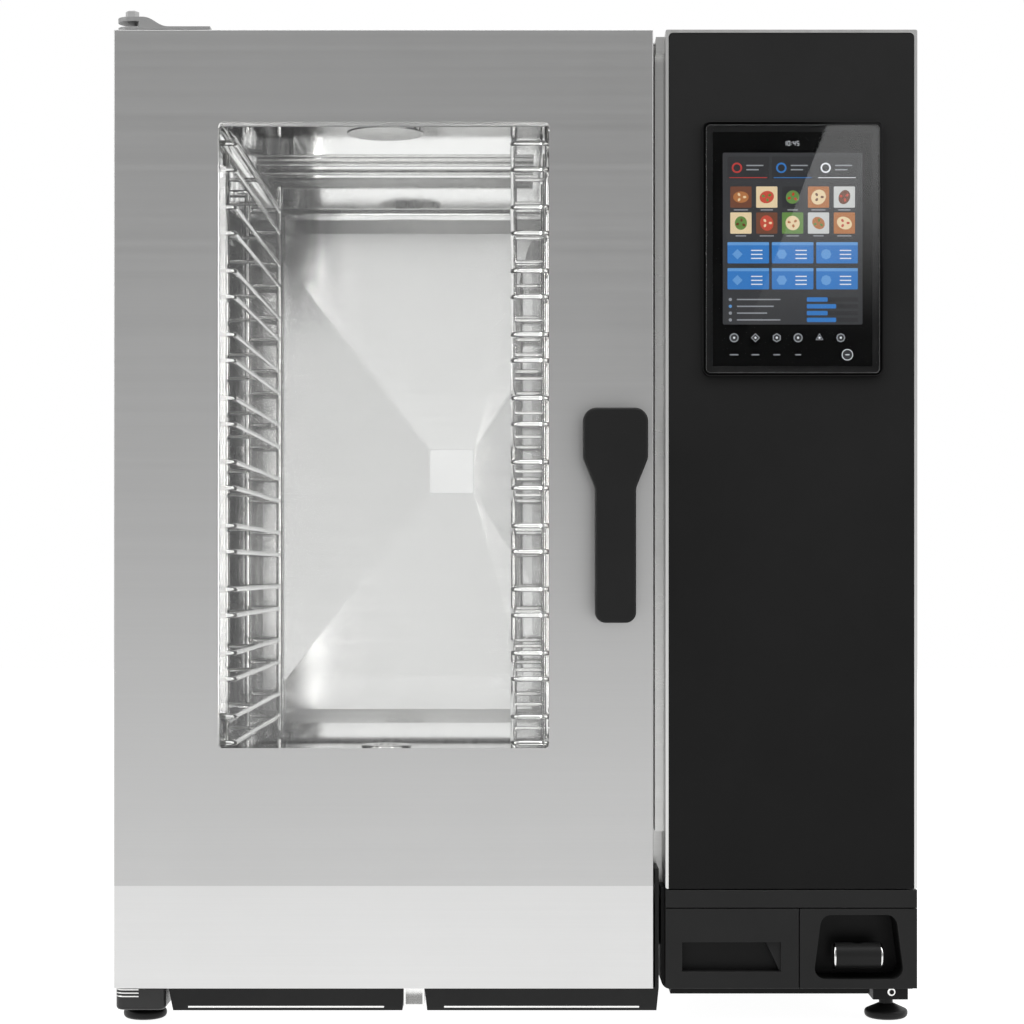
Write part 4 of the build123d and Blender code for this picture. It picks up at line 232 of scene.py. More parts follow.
class SharedEffects:
    """Shader groups that several finishes place with their own values."""

    def __init__(self) -> None:
        """Build every group once."""
        self.grain = self._grain()
        self.wear = self._wear()
        self.smudge = self._smudge()
        self.mould = self._mould()
        self.dust = self._dust()
        self.painted_facet_shade = self._painted_facet_shade()
        self.painted_wall_reflections = self._painted_wall_reflections()

    @staticmethod
    def _start(name: str, inputs: list[tuple[str, str, object]],
               outputs: list[tuple[str, str]]) -> tuple[bpy.types.NodeTree, Graph, dict, bpy.types.Node]:
        """Make an empty group with named sockets.

        Args:
            name: The group's name.
            inputs: Name, socket type and default value of each input.
            outputs: Name and socket type of each output.

        Returns:
            The tree, its graph, its input sockets by name and its output node.
        """
        tree = bpy.data.node_groups.new(name, "ShaderNodeTree")
        for label, kind, default in inputs:
            socket = tree.interface.new_socket(name=label, in_out="INPUT", socket_type=kind)
            socket.default_value = default
        for label, kind in outputs:
            tree.interface.new_socket(name=label, in_out="OUTPUT", socket_type=kind)
        graph = Graph(tree)
        entry = graph.node("NodeGroupInput")
        leave = graph.node("NodeGroupOutput")
        return tree, graph, {socket.name: socket for socket in entry.outputs}, leave

    def _grain(self) -> bpy.types.NodeTree:
        """Brushed lines: fine ones for the bump, broad ones for the shade and the gloss.

        Returns:
            The group's tree.
        """
        tree, graph, entry, leave = self._start(
            "brushed_grain",
            [("Scale", "NodeSocketVector", (4.0, 4.0, 900.0)), ("Contrast", "NodeSocketFloat", 0.06)],
            [("Height", "NodeSocketFloat"), ("Shade", "NodeSocketFloat"), ("Streak", "NodeSocketFloat")],
        )
        place = graph.place(entry["Scale"])
        fine = graph.noise(place, 1.0, 5.0, 0.65)
        broad = graph.noise(place, 0.16, 3.0, 0.5)
        both = graph.sum("MULTIPLY_ADD", fine, 0.65, graph.sum("MULTIPLY", broad, 0.35))
        low = graph.sum("SUBTRACT", 1.0, entry["Contrast"])
        high = graph.sum("ADD", 1.0, entry["Contrast"])
        graph.feed(leave.inputs["Height"], both)
        graph.feed(leave.inputs["Shade"], graph.span(both, 0.3, 0.7, low, high))
        graph.feed(leave.inputs["Streak"], graph.span(broad, 0.3, 0.7))
        return tree

    def _wear(self) -> bpy.types.NodeTree:
        """Mask of the sharp edges that hands and cloths rub, broken up by noise.

        Returns:
            The group's tree.
        """
        tree, graph, entry, leave = self._start(
            "edge_wear",
            [("Radius", "NodeSocketFloat", 0.0012), ("Breakup", "NodeSocketFloat", 90.0),
             ("Amount", "NodeSocketFloat", 0.6)],
            [("Mask", "NodeSocketFloat")],
        )
        rounded = graph.node("Bevel", samples=4)
        graph.feed(rounded.inputs["Radius"], entry["Radius"])
        true = graph.node("NewGeometry")
        dot = graph.node("VectorMath", operation="DOT_PRODUCT")
        graph.feed(dot.inputs[0], rounded.outputs[0])
        graph.feed(dot.inputs[1], true.outputs["Normal"])
        edge = graph.span(dot.outputs["Value"], 0.995, 0.8)
        patchy = graph.span(graph.noise(graph.place((1.0, 1.0, 1.0)), entry["Breakup"], 4.0), 0.35, 0.65)
        rubbed = graph.sum("MULTIPLY", edge, graph.sum("MULTIPLY_ADD", patchy, 0.7, 0.3))
        graph.feed(leave.inputs["Mask"], graph.sum("MULTIPLY", rubbed, entry["Amount"]))
        return tree

    def _smudge(self) -> bpy.types.NodeTree:
        """Faint wiped marks that change the gloss in soft patches.

        Returns:
            The group's tree.
        """
        tree, graph, entry, leave = self._start(
            "wiped_marks",
            [("Scale", "NodeSocketFloat", 6.0), ("Low", "NodeSocketFloat", 0.2),
             ("High", "NodeSocketFloat", 0.3)],
            [("Roughness", "NodeSocketFloat"), ("Mask", "NodeSocketFloat")],
        )
        broad = graph.noise(graph.place((1.0, 1.0, 1.0)), entry["Scale"], 5.0, 0.6)
        wiped = graph.noise(graph.place((1.0, 1.0, 4.0)), graph.sum("MULTIPLY", entry["Scale"], 7.0), 3.0)
        both = graph.sum("MULTIPLY_ADD", broad, 0.75, graph.sum("MULTIPLY", wiped, 0.25))
        graph.feed(leave.inputs["Roughness"], graph.span(both, 0.32, 0.68, entry["Low"], entry["High"]))
        graph.feed(leave.inputs["Mask"], graph.span(both, 0.35, 0.65))
        return tree

    def _mould(self) -> bpy.types.NodeTree:
        """Fine eroded texture of moulded or powder coated surfaces.

        Returns:
            The group's tree.
        """
        tree, graph, entry, leave = self._start(
            "fine_texture",
            [("Scale", "NodeSocketFloat", 1400.0), ("Contrast", "NodeSocketFloat", 0.1)],
            [("Height", "NodeSocketFloat"), ("Shade", "NodeSocketFloat")],
        )
        place = graph.place((1.0, 1.0, 1.0))
        cells = graph.node("TexVoronoi", feature="SMOOTH_F1")
        graph.feed(cells.inputs["Vector"], place)
        graph.feed(cells.inputs["Scale"], entry["Scale"])
        clouds = graph.noise(place, 14.0, 4.0)
        low = graph.sum("SUBTRACT", 1.0, entry["Contrast"])
        high = graph.sum("ADD", 1.0, entry["Contrast"])
        grit = graph.noise(place, graph.sum("MULTIPLY", entry["Scale"], 0.5), 2.0)
        graph.feed(leave.inputs["Height"], graph.sum("MULTIPLY_ADD", grit, 0.5, cells.outputs["Distance"]))
        graph.feed(leave.inputs["Shade"], graph.span(clouds, 0.3, 0.7, low, high))
        return tree

    def _dust(self) -> bpy.types.NodeTree:
        """Thin dust on faces that look up.

        Returns:
            The group's tree.
        """
        tree, graph, entry, leave = self._start(
            "settled_dust",
            [("Amount", "NodeSocketFloat", 0.1)],
            [("Mask", "NodeSocketFloat")],
        )
        parts = graph.node("SeparateXYZ")
        graph.feed(parts.inputs[0], graph.node("NewGeometry").outputs["Normal"])
        upward = graph.span(parts.outputs["Z"], 0.5, 1.0)
        clouds = graph.noise(graph.place((1.0, 1.0, 1.0)), 30.0, 6.0, 0.65)
        speckled = graph.sum("MULTIPLY", upward, graph.span(clouds, 0.35, 0.75))
        graph.feed(leave.inputs["Mask"], graph.sum("MULTIPLY", speckled, entry["Amount"]))
        return tree

    def _painted_facet_shade(self) -> bpy.types.NodeTree:
        """Painted shade of the shallow funnel around the boss: the left, right and lower facet fields are set
        shares darker, the baffle is lighter towards the bottom, and painted dark streaks shade the upper left
        corner.

        Returns:
            The group's tree.
        """
        tree, graph, entry, leave = self._start(
            "painted_facet_shade_group",
            [("Across", "NodeSocketFloat", -0.085), ("Level", "NodeSocketFloat", 0.615),
             ("Half", "NodeSocketFloat", 0.0295), ("Left", "NodeSocketFloat", 0.9),
             ("Right", "NodeSocketFloat", 0.85), ("Below", "NodeSocketFloat", 0.9),
             ("Rise", "NodeSocketFloat", 0.1)],
            [("Shade", "NodeSocketFloat")],
        )
        parts = graph.node("SeparateXYZ")
        graph.feed(parts.inputs[0], graph.place((1.0, 1.0, 1.0)))
        side = graph.sum("SUBTRACT", parts.outputs["X"], entry["Across"])
        up = graph.sum("SUBTRACT", parts.outputs["Z"], entry["Level"])
        beyond = graph.sum("SUBTRACT", graph.sum("ABSOLUTE", up), entry["Half"])
        masks = []
        # side, slope and soft edge of the two folds
        left_fold, right_fold = (-1.0, 1.3, 0.012), (1.0, 1.55, 0.006)
        for sign, slope, blur in (left_fold, right_fold):
            reach = graph.sum("SUBTRACT", graph.sum("MULTIPLY", side, sign), entry["Half"])
            over = graph.sum("SUBTRACT", graph.sum("MULTIPLY", reach, slope), beyond)
            near = graph.span(reach, 0.0, 0.001)
            masks.append(graph.sum("MULTIPLY", near, graph.span(over, -blur, blur, 0.0, 1.0, True)))
        rest = graph.sum("SUBTRACT", 1.0, graph.sum("MAXIMUM", masks[0], masks[1]))
        under = graph.span(up, graph.sum("MULTIPLY", entry["Half"], -1.0), -0.03)
        masks.append(graph.sum("MULTIPLY", rest, under))
        # painted shade: the colour of each facet field is scaled by its share
        painted_shade_tint: object = 1.0
        for mask, name in zip(masks, ("Left", "Right", "Below")):
            painted_shade_tint = graph.sum("MULTIPLY_ADD", mask, graph.sum("SUBTRACT", entry[name], 1.0), painted_shade_tint)
        # painted shade: lighter towards the bottom, darker towards the top
        half_height = 0.33
        down = graph.span(up, -half_height, half_height, 1.0, -1.0)
        painted_shade_tint = graph.sum("MULTIPLY_ADD", down, entry["Rise"], painted_shade_tint)
        # painted shade: dark streaks over the upper left corner
        streak = graph.noise(graph.place((22.0, 1.0, 6.0)), 1.0, 2.0)
        corner_bottom, corner_top, corner_right, corner_left = 0.15, 0.29, -0.13, -0.2
        high = graph.span(up, corner_bottom, corner_top, 0.0, 1.0, True)
        outer = graph.span(side, corner_right, corner_left, 0.0, 1.0, True)
        corner = graph.sum("MULTIPLY", high, outer)
        dark = graph.sum("MULTIPLY", corner, graph.span(streak, 0.35, 0.6, 0.35, 0.7, True))
        graph.feed(leave.inputs["Shade"], graph.sum("MULTIPLY", painted_shade_tint, graph.sum("SUBTRACT", 1.0, dark)))
        return tree

    def _painted_wall_reflections(self) -> bpy.types.NodeTree:
        """Painted reflection of the rack wires: upright dark and bright stripes on the side wall that faces
        right.

        Returns:
            The group's tree.
        """
        tree, graph, entry, leave = self._start(
            "painted_wall_reflection_group",
            [("Scale", "NodeSocketFloat", 34.0), ("Depth", "NodeSocketFloat", 0.8)],
            [("Shade", "NodeSocketFloat")],
        )
        lean = graph.node("SeparateXYZ")
        graph.feed(lean.inputs[0], graph.node("NewGeometry").outputs["True Normal"])
        wall = graph.sum("GREATER_THAN", lean.outputs["X"], 0.9)
        place = graph.place((0.0, 1.0, 0.03))
        painted_wall_reflections = graph.span(graph.noise(place, entry["Scale"], 4.0, 0.7), 0.42, 0.56, 0.0, 1.0, True)
        # painted reflection: the stripes darken the wall's colour
        loss = graph.sum("MULTIPLY", graph.sum("MULTIPLY", wall, entry["Depth"]), painted_wall_reflections)
        graph.feed(leave.inputs["Shade"], graph.sum("SUBTRACT", 1.0, loss))
        return tree

    def use(self, graph: Graph, group: bpy.types.NodeTree, **values: object) -> bpy.types.Node:
        """Place a group in a material's tree.

        Args:
            graph: The material's graph.
            group: One of the shared groups.
            **values: Its inputs, by name.

        Returns:
            The placed group node.
        """
        placed = graph.node("Group", node_tree=group)
        for name, value in values.items():
            graph.feed(placed.inputs[name], value)
        return placed


EFFECTS = SharedEffects()


# ------------------------------------------------------------------ finishes
class Grain(Enum):
    """Which way the brushed lines of a steel sheet run."""

    ACROSS = (3.0, 700.0, 900.0)
    UPRIGHT = (900.0, 700.0, 3.0)
    BACK = (900.0, 3.0, 900.0)
    ROUND = (240.0, 240.0, 240.0)


def principled(name: str) -> tuple[bpy.types.Material, Graph, bpy.types.Node]:
    """Start a material with a Principled BSDF wired to its output.

    Args:
        name: The material's name.

    Returns:
        The material, its graph and the shader node.
    """
    made = bpy.data.materials.new(name)
    made.use_nodes = True
    graph = Graph(made.node_tree)
    shader = graph.node("BsdfPrincipled")
    graph.feed(graph.node("OutputMaterial").inputs["Surface"], shader.outputs[0])
    return made, graph, shader


def bump(graph: Graph, shader: bpy.types.Node, height: bpy.types.NodeSocket, strength: float,
         distance: float) -> None:
    """Wire a height to the shader's normal.

    Args:
        graph: The material's graph.
        shader: The shader node.
        height: Height value.
        strength: Share of the bump that shows.
        distance: Height of a full step, in metres.
    """
    made = graph.node("Bump")
    made.inputs["Strength"].default_value = strength
    made.inputs["Distance"].default_value = distance
    graph.feed(made.inputs["Height"], height)
    graph.feed(shader.inputs["Normal"], made.outputs[0])


@dataclass(frozen=True)
class Steel:
    """Brushed or polished stainless steel."""

    name: str
    colour: Colour = (0.62, 0.62, 0.61)
    grain: Grain = Grain.ACROSS
    low: float = 0.24
    high: float = 0.32
    contrast: float = 0.05
    relief: float = 0.12
    wear: float = 0.35
    anisotropy: float = 0.0
    # height below which the colour is scaled by the gain: a painted light band
    painted_light_band_below: float | None = None
    painted_light_band_gain: float = 1.2
    # whether the colour gets painted shade of the baffle's funnel facets
    paints_facet_shade: bool = False
    # whether the colour gets painted reflection stripes of the rack wires on the right-facing wall
    paints_wall_reflections: bool = False
    worn_gain: float = 1.25
    step: float = 0.00004

    def material(self) -> bpy.types.Material:
        """Build the material.

        Returns:
            The finished material.
        """
        made, graph, shader = principled(self.name)
        lines = EFFECTS.use(graph, EFFECTS.grain, Scale=self.grain.value, Contrast=self.contrast)
        marks = EFFECTS.use(graph, EFFECTS.smudge, Scale=5.0, Low=self.low, High=self.high)
        edge = EFFECTS.use(graph, EFFECTS.wear, Radius=0.001, Amount=self.wear)
        colour: object = self.colour
        # painted light band: a painted reflection where the gain brightens (door), painted shade where it
        # darkens (front frame)
        if self.painted_light_band_below is not None:
            parts = graph.node("SeparateXYZ")
            graph.feed(parts.inputs[0], graph.place((1.0, 1.0, 1.0)))
            below = graph.sum("LESS_THAN", parts.outputs["Z"], self.painted_light_band_below)
            bright = tuple(min(1.0, channel * self.painted_light_band_gain) for channel in self.colour)
            colour = graph.blend(below, self.colour, bright)
        shade = graph.node("CombineColor")
        for channel in shade.inputs:
            graph.feed(channel, lines.outputs["Shade"])
        shaded = graph.blend(1.0, colour, shade.outputs[0], "MULTIPLY")
        # painted facet shade on the baffle and painted reflection stripes on the cavity wall, multiplied into
        # the colour
        painted_light_groups = []
        if self.paints_facet_shade:
            fan = centre("fan_wheel")
            painted_light_groups.append(EFFECTS.use(graph, EFFECTS.painted_facet_shade, Across=fan.x, Level=fan.z, Left=0.88,
                                     Right=0.78, Below=0.92, Rise=0.06))
        if self.paints_wall_reflections:
            painted_light_groups.append(EFFECTS.use(graph, EFFECTS.painted_wall_reflections))
        for placed in painted_light_groups:
            painted_shade_tint = graph.node("CombineColor")
            for channel in painted_shade_tint.inputs:
                graph.feed(channel, placed.outputs["Shade"])
            shaded = graph.blend(1.0, shaded, painted_shade_tint.outputs[0], "MULTIPLY")
        worn = tuple(min(1.0, channel * self.worn_gain) for channel in self.colour)
        graph.feed(shader.inputs["Base Color"], graph.blend(edge.outputs["Mask"], shaded, worn))
        shader.inputs["Metallic"].default_value = 1.0
        shader.inputs["Anisotropic"].default_value = self.anisotropy
        rough = graph.sum("MULTIPLY_ADD", lines.outputs["Streak"], 0.05, marks.outputs["Roughness"])
        graph.feed(shader.inputs["Roughness"], rough)
        bump(graph, shader, lines.outputs["Height"], self.relief, self.step)
        return made


@dataclass(frozen=True)
class Plastic:
    """Moulded plastic, powder coat or rubber."""

    name: str
    colour: Colour
    low: float = 0.38
    high: float = 0.5
    texture: float = 1400.0
    relief: float = 0.25
    contrast: float = 0.12
    specular: float = 0.4
    coat: float = 0.0
    wear: float = 0.35
    worn: Colour = (0.12, 0.12, 0.12)
    dust: float = 0.06
    # painted shading: the colour is scaled by the gain along one axis
    painted_shading_from: float = 0.0
    painted_shading_to: float = 1.0
    painted_shading_gain: float = 1.0
    painted_shading_axis: str = "Z"
    dust_colour: Colour = grey(120)
    coat_roughness: float = 0.12
    step: float = 0.00005

    def material(self) -> bpy.types.Material:
        """Build the material.

        Returns:
            The finished material.
        """
        made, graph, shader = principled(self.name)
        mould = EFFECTS.use(graph, EFFECTS.mould, Scale=self.texture, Contrast=self.contrast)
        marks = EFFECTS.use(graph, EFFECTS.smudge, Scale=8.0, Low=self.low, High=self.high)
        edge = EFFECTS.use(graph, EFFECTS.wear, Radius=0.0009, Amount=self.wear)
        film = EFFECTS.use(graph, EFFECTS.dust, Amount=self.dust)
        shade = graph.node("CombineColor")
        for channel in shade.inputs:
            graph.feed(channel, mould.outputs["Shade"])
        # painted shading along one axis: a painted lighter top on the fascia, painted shade deeper in the
        # recesses of the module fronts
        parts = graph.node("SeparateXYZ")
        graph.feed(parts.inputs[0], graph.place((1.0, 1.0, 1.0)))
        upper = graph.span(parts.outputs[self.painted_shading_axis], self.painted_shading_from, self.painted_shading_to)
        painted_shading_end = tuple(channel * self.painted_shading_gain for channel in self.colour)
        colour = graph.blend(upper, self.colour, painted_shading_end)
        shaded = graph.blend(1.0, colour, shade.outputs[0], "MULTIPLY")
        rubbed = graph.blend(edge.outputs["Mask"], shaded, self.worn)
        dusty = graph.blend(film.outputs["Mask"], rubbed, self.dust_colour)
        graph.feed(shader.inputs["Base Color"], dusty)
        graph.feed(shader.inputs["Roughness"], marks.outputs["Roughness"])
        shader.inputs["Specular IOR Level"].default_value = self.specular
        shader.inputs["Coat Weight"].default_value = self.coat
        shader.inputs["Coat Roughness"].default_value = self.coat_roughness
        bump(graph, shader, mould.outputs["Height"], self.relief, self.step)
        return made


@dataclass(frozen=True)
class Glass:
    """Clear pane that lets lamp light through."""

    name: str
    colour: Colour = (0.985, 0.987, 0.985)
    index: float = 1.45
    filmed: float = 0.985

    def material(self) -> bpy.types.Material:
        """Build the material, with a faint wiped film in its gloss.

        Returns:
            The finished material.
        """
        made = bpy.data.materials.new(self.name)
        made.use_nodes = True
        graph = Graph(made.node_tree)
        shader = graph.node("BsdfPrincipled")
        marks = EFFECTS.use(graph, EFFECTS.smudge, Scale=9.0, Low=0.0, High=0.02)
        dimmed = tuple(self.filmed * channel for channel in self.colour)
        film = graph.blend(marks.outputs["Mask"], self.colour, dimmed)
        graph.feed(shader.inputs["Base Color"], film)
        graph.feed(shader.inputs["Roughness"], marks.outputs["Roughness"])
        shader.inputs["IOR"].default_value = self.index
        shader.inputs["Transmission Weight"].default_value = 1.0
        through = graph.node("BsdfTransparent")
        through.inputs[0].default_value = (*self.colour, 1.0)
        either = graph.node("MixShader")
        graph.feed(either.inputs[0], graph.node("LightPath").outputs["Is Shadow Ray"])
        graph.feed(either.inputs[1], shader.outputs[0])
        graph.feed(either.inputs[2], through.outputs[0])
        graph.feed(graph.node("OutputMaterial").inputs["Surface"], either.outputs[0])
        return made


@dataclass(frozen=True)
class Glow:
    """Lit surface: a lamp's lens or a screen's picture."""

    name: str
    colour: Colour
    strength: float = 1.0
    base: float = 0.25
    grit: float = 0.05
    roughness: float = 0.5

    def material(self) -> bpy.types.Material:
        """Build the material, with a fine dot pattern in its light.

        Returns:
            The finished material.
        """
        made, graph, shader = principled(self.name)
        dots = EFFECTS.use(graph, EFFECTS.mould, Scale=2600.0, Contrast=self.grit)
        shade = graph.node("CombineColor")
        for channel in shade.inputs:
            graph.feed(channel, dots.outputs["Shade"])
        lit = graph.blend(1.0, self.colour, shade.outputs[0], "MULTIPLY")
        dark = tuple(channel * self.base for channel in self.colour)
        graph.feed(shader.inputs["Base Color"], graph.blend(1.0, dark, shade.outputs[0], "MULTIPLY"))
        graph.feed(shader.inputs["Emission Color"], lit)
        shader.inputs["Emission Strength"].default_value = self.strength
        shader.inputs["Roughness"].default_value = self.roughness
        return made


@dataclass(frozen=True)
class Wool:
    """Mineral wool batt."""

    name: str
    colour: Colour = (0.55, 0.45, 0.24)
    deep_share: float = 0.6
    step: float = 0.0012

    def material(self) -> bpy.types.Material:
        """Build the fibrous material.

        Returns:
            The finished material.
        """
        made, graph, shader = principled(self.name)
        fibres = graph.noise(graph.place((1.0, 1.0, 5.0)), 260.0, 8.0, 0.7)
        tufts = graph.noise(graph.place((1.0, 1.0, 1.0)), 35.0, 5.0, 0.6)
        both = graph.sum("MULTIPLY_ADD", fibres, 0.6, graph.sum("MULTIPLY", tufts, 0.4))
        share = graph.span(both, 0.35, 0.65)
        deep = tuple(self.deep_share * channel for channel in self.colour)
        graph.feed(shader.inputs["Base Color"], graph.blend(share, deep, self.colour))
        shader.inputs["Roughness"].default_value = 0.95
        shader.inputs["Sheen Weight"].default_value = 0.3
        bump(graph, shader, fibres, 0.9, self.step)
        return made


# ------------------------------------------------------------------ mesh tools
def finish_mesh(name: str, mesh: bmesh.types.BMesh, material: bpy.types.Material, body: str,
                smooth_angle: float = 35.0) -> bpy.types.Object:
    """Turn a built mesh into a piece of the object.

    Args:
        name: The piece's name.
        mesh: The built mesh, in metres and in the frame's place.
        material: Its finish.
        body: Moving body that carries it.
        smooth_angle: Angle in degrees up to which edges are shaded smooth.

    Returns:
        The new object.
    """
    bmesh.ops.recalc_face_normals(mesh, faces=mesh.faces[:])
    data = bpy.data.meshes.new(name)
    mesh.to_mesh(data)
    mesh.free()
    data.materials.append(material)
    made = bpy.data.objects.new(name, data)
    bpy.context.scene.collection.objects.link(made)
    data.shade_smooth()
    data.set_sharp_from_angle(angle=math.radians(smooth_angle))
    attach(made, body)
    return made


def rounded_outline(width: float, height: float, radius: float, steps: int = 6) -> list[Flat]:
    """Points around a rectangle with rounded corners, about its middle.

    Args:
        width: Full width.
        height: Full height.
        radius: Corner radius.
        steps: Segments in each corner.

    Returns:
        The points, anticlockwise.
    """
    points = []
    for turn, (side, rise) in enumerate(((1, 1), (-1, 1), (-1, -1), (1, -1))):
        middle = (side * (width / 2 - radius), rise * (height / 2 - radius))
        for step in range(steps + 1):
            angle = math.radians(90 * turn + 90 * step / steps)
            points.append((middle[0] + radius * math.cos(angle), middle[1] + radius * math.sin(angle)))
    return points


def slab(mesh: bmesh.types.BMesh, outline: list[Flat], middle: Point, depth: float,
         edge: float = 0.0) -> None:
    """Add an upright plate that faces the front, with a small bevel on its front edge.

    Args:
        mesh: Mesh that takes the plate.
        outline: Its outline in X and Z about the middle, in metres.
        middle: Place of the outline's middle on the plate's front face.
        depth: Thickness towards the back.
        edge: Width of the front bevel.
    """
    rings = []
    reach = max(max(abs(point[0]), abs(point[1])) for point in outline)
    for shrink, back in ((edge, 0.0), (0.0, edge), (0.0, depth)):
        share = 1 - shrink / reach
        rings.append([mesh.verts.new((middle[0] + x * share, middle[1] + back, middle[2] + z * share))
                      for x, z in outline])
    mesh.faces.new(rings[0])
    for front, rear in zip(rings, rings[1:]):
        for index in range(len(outline)):
            after = (index + 1) % len(outline)
            mesh.faces.new((front[index], front[after], rear[after], rear[index]))
    mesh.faces.new(list(reversed(rings[-1])))


def tube(mesh: bmesh.types.BMesh, path: list[Vector], radius: float, sides: int = 10,
         closed: bool = False) -> None:
    """Add a round bar along a path.

    Args:
        mesh: Mesh that takes the bar.
        path: Points of its middle line, in metres.
        radius: The bar's radius.
        sides: Sides of its section.
        closed: Whether the last point joins the first.
    """
    rings = []
    count = len(path)
    upright = Vector((0.0, 1.0, 0.0))
    for index, point in enumerate(path):
        before = path[index - 1] if closed or index else point
        after = path[(index + 1) % count] if closed or index < count - 1 else point
        along = (after - before).normalized()
        side = along.cross(upright).normalized()
        if side.length < 0.5:
            side = along.cross(Vector((1.0, 0.0, 0.0))).normalized()
        over = side.cross(along)
        rings.append([mesh.verts.new(point + radius * (math.cos(2 * math.pi * turn / sides) * side
                                                       + math.sin(2 * math.pi * turn / sides) * over))
                      for turn in range(sides)])
    pairs = list(zip(rings, rings[1:])) + ([(rings[-1], rings[0])] if closed else [])
    for first, second in pairs:
        for turn in range(sides):
            after = (turn + 1) % sides
            mesh.faces.new((first[turn], first[after], second[after], second[turn]))
    if not closed:
        mesh.faces.new(list(reversed(rings[0])))
        mesh.faces.new(rings[-1])


# ------------------------------------------------------------------ finishes of this oven
class Finish(Enum):
    """Every finish of the oven, by the surface that carries it."""

    HOUSING = Steel("housing_steel", (0.66, 0.66, 0.65), Grain.UPRIGHT, 0.28, 0.36)
    BRIGHT = Steel("bright_steel", (0.78, 0.78, 0.77), Grain.ROUND, 0.1, 0.18, relief=0.04)
    # front frame: painted shade, near black below 128 mm
    FRAME = Steel("frame_steel", (0.66, 0.66, 0.65), Grain.ACROSS, 0.24, 0.32, painted_light_band_below=0.128,
                  painted_light_band_gain=0.05)
    # cavity steel carries painted reflection stripes of the rack wires on its right-facing wall
    CAVITY = Steel("cavity_steel", (0.98, 0.98, 0.975), Grain.BACK, 0.03, 0.05, 0.01, 0.004,
                   paints_wall_reflections=True)
    RACK = Steel("rack_wire", (0.93, 0.93, 0.92), Grain.ROUND, 0.02, 0.04, relief=0.01)
    # baffle steel carries painted facet shade and a painted dark upper left corner
    BAFFLE = Steel("baffle_steel", (0.87, 0.87, 0.865), Grain.ACROSS, 0.1, 0.14, 0.012, 0.006,
                   paints_facet_shade=True)
    BOSS = Steel("baffle_boss", (1.0, 1.0, 0.998), Grain.ROUND, 0.1, 0.12, 0.006, 0.004)
    COIL = Steel("coil_steel", (0.42, 0.36, 0.3), Grain.ROUND, 0.3, 0.45, 0.15)
    MOTOR = Steel("motor_aluminium", (0.6, 0.61, 0.62), Grain.ROUND, 0.4, 0.55, 0.1, 0.5)
    # door skin: painted reflection of the floor, a brighter band below 150 mm
    DOOR = Steel("door_steel", (0.53, 0.53, 0.527), Grain.ACROSS, 0.29, 0.33, 0.02, 0.05, 0.3,
                 painted_light_band_below=0.150, painted_light_band_gain=1.26)
    DOOR_FRAME = Steel("door_frame_steel", (0.72, 0.72, 0.71), Grain.UPRIGHT, 0.22, 0.3, 0.04)
    BUSH = Steel("bush_steel", (0.7, 0.7, 0.68), Grain.ROUND, 0.2, 0.3)
    BRACKET = Plastic("hinge_zinc", grey(158), 0.34, 0.44, 1200.0, 0.12, 0.1, 0.5, wear=0.3,
                      worn=grey(205))
    BOLT = Plastic("bolt_zinc", grey(184), 0.3, 0.4, 1200.0, 0.1, 0.08, 0.6, wear=0.3, worn=grey(215))
    HAIRLINE = Plastic("hairline_silver", grey(150), 0.3, 0.4, 1200.0, 0.05, 0.1, 0.5, wear=0.0)
    COLUMN = Steel("column_steel", (0.7, 0.7, 0.69), Grain.UPRIGHT, 0.26, 0.33)
    BRASS = Steel("valve_brass", (0.72, 0.52, 0.24), Grain.ROUND, 0.25, 0.4, 0.08)
    WOOL = Wool("mineral_wool")
    SILICONE = Plastic("light_silicone", grey(186), 0.42, 0.52, 1100.0, 0.15, 0.08, 0.3, wear=0.0)
    SEAL = Plastic("seal_rubber", grey(34), 0.5, 0.62, 1800.0, 0.3, 0.15, 0.3, worn=grey(70))
    BLACK_PLASTIC = Plastic("black_plastic", grey(26), 0.38, 0.48, 1500.0, 0.2, 0.1, 0.16)
    # module fronts: painted shade, darker behind their front faces
    MODULE = Plastic("module_black", grey(41), 0.36, 0.46, 1500.0, 0.14, 0.08, 0.16, dust=0.03,
                     painted_shading_from=-0.387, painted_shading_to=-0.377, painted_shading_gain=0.3, painted_shading_axis="Y")
    BLACK_PAINT = Plastic("black_paint", grey(30), 0.4, 0.55, 1100.0, 0.35, 0.1, 0.2)
    ENAMEL = Plastic("hinge_enamel", grey(56), 0.2, 0.28, 1100.0, 0.1, 0.12, 0.3, wear=0.2)
    HANDLE = Plastic("handle_plastic", grey(37), 0.36, 0.44, 1700.0, 0.22, 0.08, 0.16, dust=0.03)
    FOOT = Plastic("foot_plastic", grey(28), 0.4, 0.52, 1500.0, 0.3, 0.12, 0.25)
    # fascia: painted light, lighter towards the top
    FASCIA = Plastic("fascia_black", grey(32), 0.34, 0.44, 1300.0, 0.08, 0.06, 0.08, dust=0.0,
                     painted_shading_from=0.15, painted_shading_to=1.06, painted_shading_gain=1.9)
    CHANNEL = Plastic("channel_black", grey(53), 0.32, 0.42, 1400.0, 0.15, 0.08, 0.16, dust=0.0)
    HOSE = Plastic("hose_rubber", grey(30), 0.42, 0.55, 1200.0, 0.35, 0.12, 0.25)
    DISPLAY = Plastic("display_black", grey(4), 0.18, 0.24, 2000.0, 0.03, 0.05, 0.1, dust=0.0)
    BEZEL = Plastic("bezel_gloss", grey(5), 0.05, 0.09, 2000.0, 0.02, 0.04, 0.14, wear=0.1, dust=0.0)
    WINDOW = Glass("clear_glass")
    COVER = Glass("screen_cover", (0.97, 0.975, 0.98))
    LENS = Glow("light_lens", (1.0, 0.99, 0.975), 34.0, 0.7)

    def material(self) -> bpy.types.Material:
        """The finish's material, built the first time it is asked for."""
        if self.value.name not in MADE:
            MADE[self.value.name] = self.value.material()
        return MADE[self.value.name]


